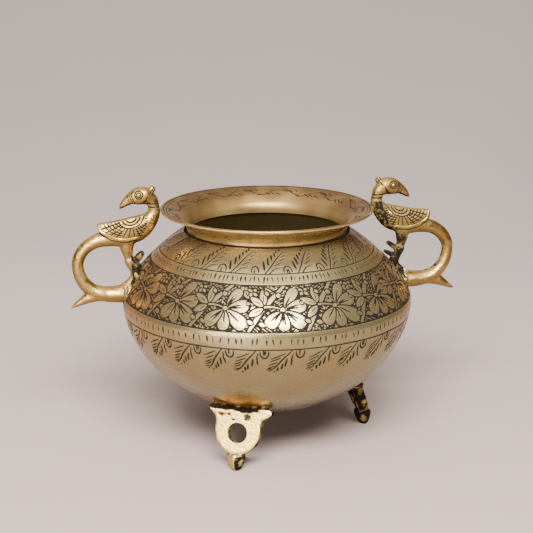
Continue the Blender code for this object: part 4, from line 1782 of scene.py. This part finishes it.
@dataclass
class Foot:
    """A leaning foot: a pierced plate with two ears, on a bud of a toe, brazed under the belly."""

    place: str
    azimuth: float
    shape: BowlShape
    mirrored: bool = False
    sooty: float = 0.1
    pitch: float = 0.24
    circle: float = 65.0
    lean: float = radians(18)
    base: float = 4.0
    hole: tuple[float, float, float] = (0.0, 18.5, 6.0)
    half_thickness: float = 3.0
    blotches: tuple = ((-10.6, 28.9, 2.4, 1.2), (-6.2, 29.2, 1.7, 1.1), (5.2, 29.0, 2.8, 2.4),
                       (-3.0, 26.2, 1.4, 0.7))

    def outline(self) -> np.ndarray:
        """Outline of the plate: round below, with a sharp left ear and a broad right one.

        Returns:
            Rows of (across, up).
        """
        points = [(0, 5.2), (5.4, 6.6), (9.9, 10.0), (12.9, 14.6), (14.0, 20.0), (14.0, 25.0), (15.4, 27.6),
                  (18.6, 29.6), (20.2, 31.6), (19.0, 33.6), (15.0, 34.0), (8, 33.2), (0, 32.6), (-8, 32.0),
                  (-15.6, 31.9), (-18.6, 32.2), (-16.6, 29.9), (-14.6, 27.6), (-14.0, 24.6), (-14.0, 20.0),
                  (-12.9, 14.6), (-9.9, 10.0), (-5.4, 6.6)]
        line = curved(points + [points[0]], 110)[:-1]
        return line * (-1, 1) if self.mirrored else line

    def on_plate(self, x: np.ndarray, y: np.ndarray, z: np.ndarray) -> tuple:
        """Turns places of the foot's frame into ones on the leaning plate.

        Args:
            x: outward from the foot's middle.
            y: sideways.
            z: height.

        Returns:
            Coordinates across, up and through the plate.
        """
        rise = z - self.base
        return y, rise * cos(self.lean) - x * sin(self.lean), x * cos(self.lean) + rise * sin(self.lean)

    def from_edge(self, across: np.ndarray, up: np.ndarray) -> np.ndarray:
        """Distance from the plate's outline, read from a fine table of it.

        Args:
            across: places across the plate.
            up: places up the plate.

        Returns:
            One distance for each place, negative inside the outline.
        """
        step, left, low = 0.2, -21, -8
        rows, columns = np.arange(left, 21, step), np.arange(low, 42, step)
        table = within(np.stack(np.meshgrid(rows, columns, indexing="ij"), axis=-1), self.outline())
        first = np.clip((across - left) / step, 0, table.shape[0] - 1.01)
        second = np.clip((up - low) / step, 0, table.shape[1] - 1.01)
        i, j = first.astype(int), second.astype(int)
        a, b = first - i, second - j
        return (table[i, j] * (1 - a) * (1 - b) + table[i + 1, j] * a * (1 - b)
                + table[i, j + 1] * (1 - a) * b + table[i + 1, j + 1] * a * b)

    def solid(self) -> Casting:
        """Casts the foot.

        Returns:
            The casting.
        """
        cast = Casting((-16, -20, -1), (9, 20, 38), self.pitch)
        leaning = np.broadcast_arrays(*self.on_plate(cast.x, cast.y, cast.z))
        across, up, through = (np.ascontiguousarray(part, dtype=np.float32) for part in leaning)
        edge = self.from_edge(across, up)
        half = self.half_thickness - 0.25 * smooth(-1.5, 0, edge)
        plate = -blended(-edge, -(np.abs(through) - half), 0.35)
        hole = np.hypot(across - self.hole[0], up - self.hole[1]) - self.hole[2]
        plate = -blended(-plate, hole, 0.3)
        cast.join(plate, 0.1)
        heights = [0.0, 0.5, 1.5, 3.5, 6.0, 8.0, 9.6, 11.0]
        radius = np.interp(cast.z, heights, [1.6, 2.2, 2.8, 3.7, 4.5, 4.8, 4.6, 3.6])
        back = cast.x + 0.15 * cast.z
        turned = (back + cast.y) * 0.7071, (cast.y - back) * 0.7071  # an eighth of a turn
        round_size = (np.abs(turned[0] * 1.02) ** 4 + np.abs(turned[1]) ** 4) ** 0.25
        toe = np.maximum(np.maximum((round_size - radius) * 0.85, cast.z - 10.6), 0.05 - cast.z)
        cast.join(toe, 0.5)
        return cast

    def ageing(self, points: np.ndarray, facing: np.ndarray, hollow: np.ndarray) -> tuple:
        """Where the foot is dark, from patina and painted shade, warm and pocked.

        Args:
            points: vertices, in the foot's own frame.
            facing: their normals.
            hollow: how deep each one lies in a recess.

        Returns:
            Patina with painted shade, warmth and pocks, each from 0 to 1.
        """
        side = -1 if self.mirrored else 1
        _, up, through = self.on_plate(*points.T)
        across = points[:, 1] * side
        seed = len(self.place)
        cloud = Waviness(61 + seed, 2.5, 10).at(points)
        grain = Waviness(62 + seed, 0.7, 2.5).at(points)
        face = smooth(0.6, 0.9, facing[:, 0] * cos(self.lean) + facing[:, 2] * sin(self.lean))
        blotch = np.zeros(len(points))
        for out, high, wide, tall in self.blotches:
            reach = np.hypot((across - out) / wide, (up - high) / tall) + 0.25 * cloud + 0.2 * grain
            blotch = np.maximum(blotch, 0.88 * smooth(1.2, 0.7, reach))
        seam = smooth(31.0, 32.0, up + 0.7 * cloud) * smooth(14, 11, across)
        rim = (1 - face) * np.clip(0.9 + 0.35 * cloud, 0, 1) * (points[:, 2] > 8.5)
        shaded = smooth(-0.1, 0.6, facing[:, 1] * side)
        toe = (points[:, 2] < 9.6) * np.clip(0.25 + 0.25 * cloud + 0.65 * shaded, 0, 1)
        dirt = self.sooty * np.clip(0.72 + 0.3 * cloud + 0.15 * grain, 0, 1)
        patina = np.maximum.reduce([blotch * face * (through > 0), seam, rim, toe, hollow * 0.95, dirt])
        patina = np.clip(patina, 0, 0.98)
        heat_and_shade_tint = np.zeros(len(points))
        if self.sooty > 0.5:
            heat_and_shade_tint = smooth(3.4, 1.0, np.hypot(across - 6.5, up - 12.5))
            patina = patina * (1 - 0.85 * heat_and_shade_tint)
        return patina, heat_and_shade_tint, blotch * face

    def build(self) -> None:
        """Casts and places the foot and its braze."""
        cast = self.solid()
        points, faces = cast.skin()
        facing, _ = cast.normals(points)
        # Recesses darker: patina in the hollows, and painted shade.
        hollow = smooth(0.12, 0.5, cast.hollow(points, facing, 1.2))
        patina, heat_and_shade_tint, pocks = self.ageing(points, facing, hollow)
        rough = Waviness(67 + len(self.place), 1.5, 6).at(points) * 0.07 - 0.25 * pocks
        points = points + facing * rough[:, None]
        points[:, 2] = np.maximum(points[:, 2], 0.0)
        cast_piece(f"foot_{self.place}", self.placed(points), faces, patina, FOOT, heat_and_shade_tint)
        self.braze()

    def placed(self, points: np.ndarray) -> np.ndarray:
        """Points of the foot's own frame, moved to the bowl."""
        return spun(points + (self.circle, 0, 0), radians(self.azimuth))

    def braze(self) -> None:
        """Builds the rough line of braze between the plate and the belly."""
        cast = Casting((-24, -20, 26), (2, 20, 46), BRAZE_PITCH)
        across, up, through = np.broadcast_arrays(*self.on_plate(cast.x, cast.y, cast.z))
        rough = Waviness(71 + len(self.place), 2.0, 8).at(cast.cells())
        sides = np.maximum(np.abs(across) - 16.4 + 1.2 * rough, np.abs(through) - 2.2 + 0.35 * rough)
        cast.field = np.maximum(sides, np.maximum(31.6 - up, up - 44)).astype(np.float32)
        radius = np.hypot(cast.x + self.circle, cast.y)
        cast.keep_outside(self.shape.depth(radius, cast.z) + 0.7)
        points, faces = cast.skin()
        _, up, _ = self.on_plate(*points.T)
        patina = smooth(36.6, 34.8, up + 1.2 * Waviness(58, 2.0, 8).at(points)) * 0.7 + 0.2
        cast_piece(f"foot_braze_{self.place}", self.placed(points), faces, patina, BRAZE)


# Studio ---------------------------------------------------------------------------------------------------

@dataclass
class Studio:
    """A curved paper sweep, soft boxes and the camera. Sizes are in metres."""

    paper: Colour = (0.276, 0.236, 0.232)
    # The second colour is a painted pool of light before the bowl, the third painted shade at the sides and
    # front.
    painted_light_paper: Colour = (0.88, 0.78, 0.74)
    painted_shade_paper: Colour = (0.16, 0.10, 0.07)
    reach: float = 3.5
    back: float = 0.5
    bend: float = 1.6
    height: float = 3.0

    def sweep(self) -> None:
        """Builds the floor that curves up into a backdrop."""
        arc = np.linspace(0, pi / 2, 24)
        curl = [(self.back + self.bend * sin(angle), self.bend * (1 - cos(angle))) for angle in arc]
        line = [(-self.reach, 0.0), *curl, (self.back + self.bend, self.height)]
        points, faces = [], []
        for index, (depth, height) in enumerate(line):
            for side in (-self.reach, self.reach):
                points.append((side, depth, height))
            if index:
                faces.append((2 * index - 2, 2 * index - 1, 2 * index + 1, 2 * index))
        mesh = bpy.data.meshes.new("paper_sweep")
        mesh.from_pydata(points, [], faces)
        mesh.shade_smooth()
        mesh.materials.append(self.paper_finish())
        made = bpy.data.objects.new("paper_sweep", mesh)
        made.rotation_euler.z = VIEW_TURN
        bpy.context.scene.collection.objects.link(made)

    def paper_finish(self) -> bpy.types.Material:
        """Builds the matt paper: faint mottling, a painted pool of light in front, painted shade at the sides
        and front.

        Returns:
            The material.
        """
        made = bpy.data.materials.new("backdrop_paper")
        made.use_nodes = True
        wiring = Wiring(made.node_tree)
        shader = made.node_tree.nodes["Principled BSDF"]
        mottle = wiring.span(wiring.noise(wiring.place(), 9.0, 3.0), 0.2, 0.8, 0.0, 1.0)
        dark = tuple(0.97 * part for part in self.paper)
        even = wiring.mix(mottle, (*self.paper, 1.0), (*dark, 1.0))
        across = wiring.node("SeparateXYZ")
        wiring.feed(across.inputs["Vector"], wiring.place())
        # A painted pool of light on the floor just in front of the bowl.
        patch = wiring.math("MULTIPLY", wiring.span(across.outputs["Y"], -0.155, -0.23, 0.0, 1.0),
                            wiring.span(across.outputs["X"], 0.1, -0.1, 0.0, 1.0))
        lit = wiring.mix(patch, even, (*self.painted_light_paper, 1.0))
        # Painted shade: the paper darkens towards both sides and towards the front.
        widened = wiring.math("MULTIPLY", across.outputs["Y"], 0.2)
        right = wiring.span(wiring.math("SUBTRACT", across.outputs["X"], widened), 0.08, 0.6, 0.0, 0.85)
        left = wiring.span(wiring.math("ADD", across.outputs["X"], widened), -0.35, -1.3, 0.0, 0.6)
        front = wiring.span(across.outputs["Y"], 0.6, -0.1, 0.0, 0.45)
        near = wiring.span(across.outputs["Y"], -0.5, -1.2, 0.0, 0.7)
        beside = wiring.math("MAXIMUM", left, right)
        painted_shade_share = wiring.math("MAXIMUM", beside, wiring.math("MAXIMUM", near, front))
        wiring.feed(shader.inputs["Base Color"], wiring.mix(painted_shade_share, lit, (*self.painted_shade_paper, 1.0)))
        wiring.feed(shader.inputs["Roughness"], wiring.span(mottle, 0.0, 1.0, 0.86, 0.94))
        return made

    @staticmethod
    def box_light(name: str, place: tuple[float, float, float], aim: tuple[float, float, float],
                  size: tuple[float, float], power: float, colour: Colour) -> None:
        """Adds a soft box.

        Args:
            name: name of the light.
            place: its middle, in metres.
            aim: point that it faces.
            size: width and height.
            power: power in watts.
            colour: colour of its light.
        """
        light = bpy.data.lights.new(name, "AREA")
        light.shape = "RECTANGLE"
        light.size, light.size_y = size
        light.energy = power
        light.color = colour
        lamp = bpy.data.objects.new(name, light)
        lamp.location = place
        lamp.rotation_euler = (Vector(place) - Vector(aim)).to_track_quat("Z", "Y").to_euler()
        bpy.context.scene.collection.objects.link(lamp)

    def lights(self) -> None:
        """Lights the bowl."""
        bowl = (0, 0, 0.08)
        self.box_light("key_soft_box", (-0.19, -0.99, 1.06), (0, 0, 0.09), (1.0, 0.42), 138,
                       (1.0, 0.97, 0.93))
        self.box_light("overhead_soft_box", (-0.05, -0.05, 1.6), bowl, (1.9, 1.5), 26, (1.0, 0.96, 0.90))
        self.box_light("front_fill_box", (-0.80, -1.04, 0.40), bowl, (1.0, 0.36), 18, (1.0, 0.94, 0.86))
        world = bpy.data.worlds.new("room")
        world.use_nodes = True
        glow = world.node_tree.nodes["Background"]
        glow.inputs["Color"].default_value = (0.80, 0.68, 0.60, 1)
        glow.inputs["Strength"].default_value = 0.40
        bpy.context.scene.world = world

    def camera(self) -> None:
        """Places the camera a little left of the front, looking down by fifteen degrees."""
        lens = bpy.data.cameras.new("studio_camera")
        lens.sensor_width = 36.0
        lens.lens = 94.2
        lens.shift_x = -0.0009
        lens.clip_end = 20.0
        made = bpy.data.objects.new("studio_camera", lens)
        made.location = (-0.1596, -0.8235, 0.3341)
        made.rotation_euler = (radians(75.02), 0.0, VIEW_TURN)
        bpy.context.scene.collection.objects.link(made)
        bpy.context.scene.camera = made

    def build(self) -> None:
        """Sets up the studio."""
        self.sweep()
        self.lights()
        self.camera()


def main() -> None:
    """Builds the bowl, its handles and its feet, and the studio round them."""
    logging.basicConfig(level=logging.INFO, format="%(name)s %(message)s")
    Studio().build()
    shape = BowlShape.from_frame()
    feet = (Foot("front_left", -117.7, shape), Foot("right", 2.3, shape, mirrored=True, sooty=1.15),
            Foot("rear_left", 111.0, shape, sooty=0.35))
    around = Surroundings(tuple((radians(foot.azimuth), 58.0) for foot in feet),
                          tuple(radians(side.value) for side in Side))
    TurnedBowl(shape, around).build_all()
    Collar(shape, around).build()
    for side in Side:
        PeacockHandle(side, shape).build()
    for foot in feet:
        foot.build()


if __name__ == "__main__":
    main()
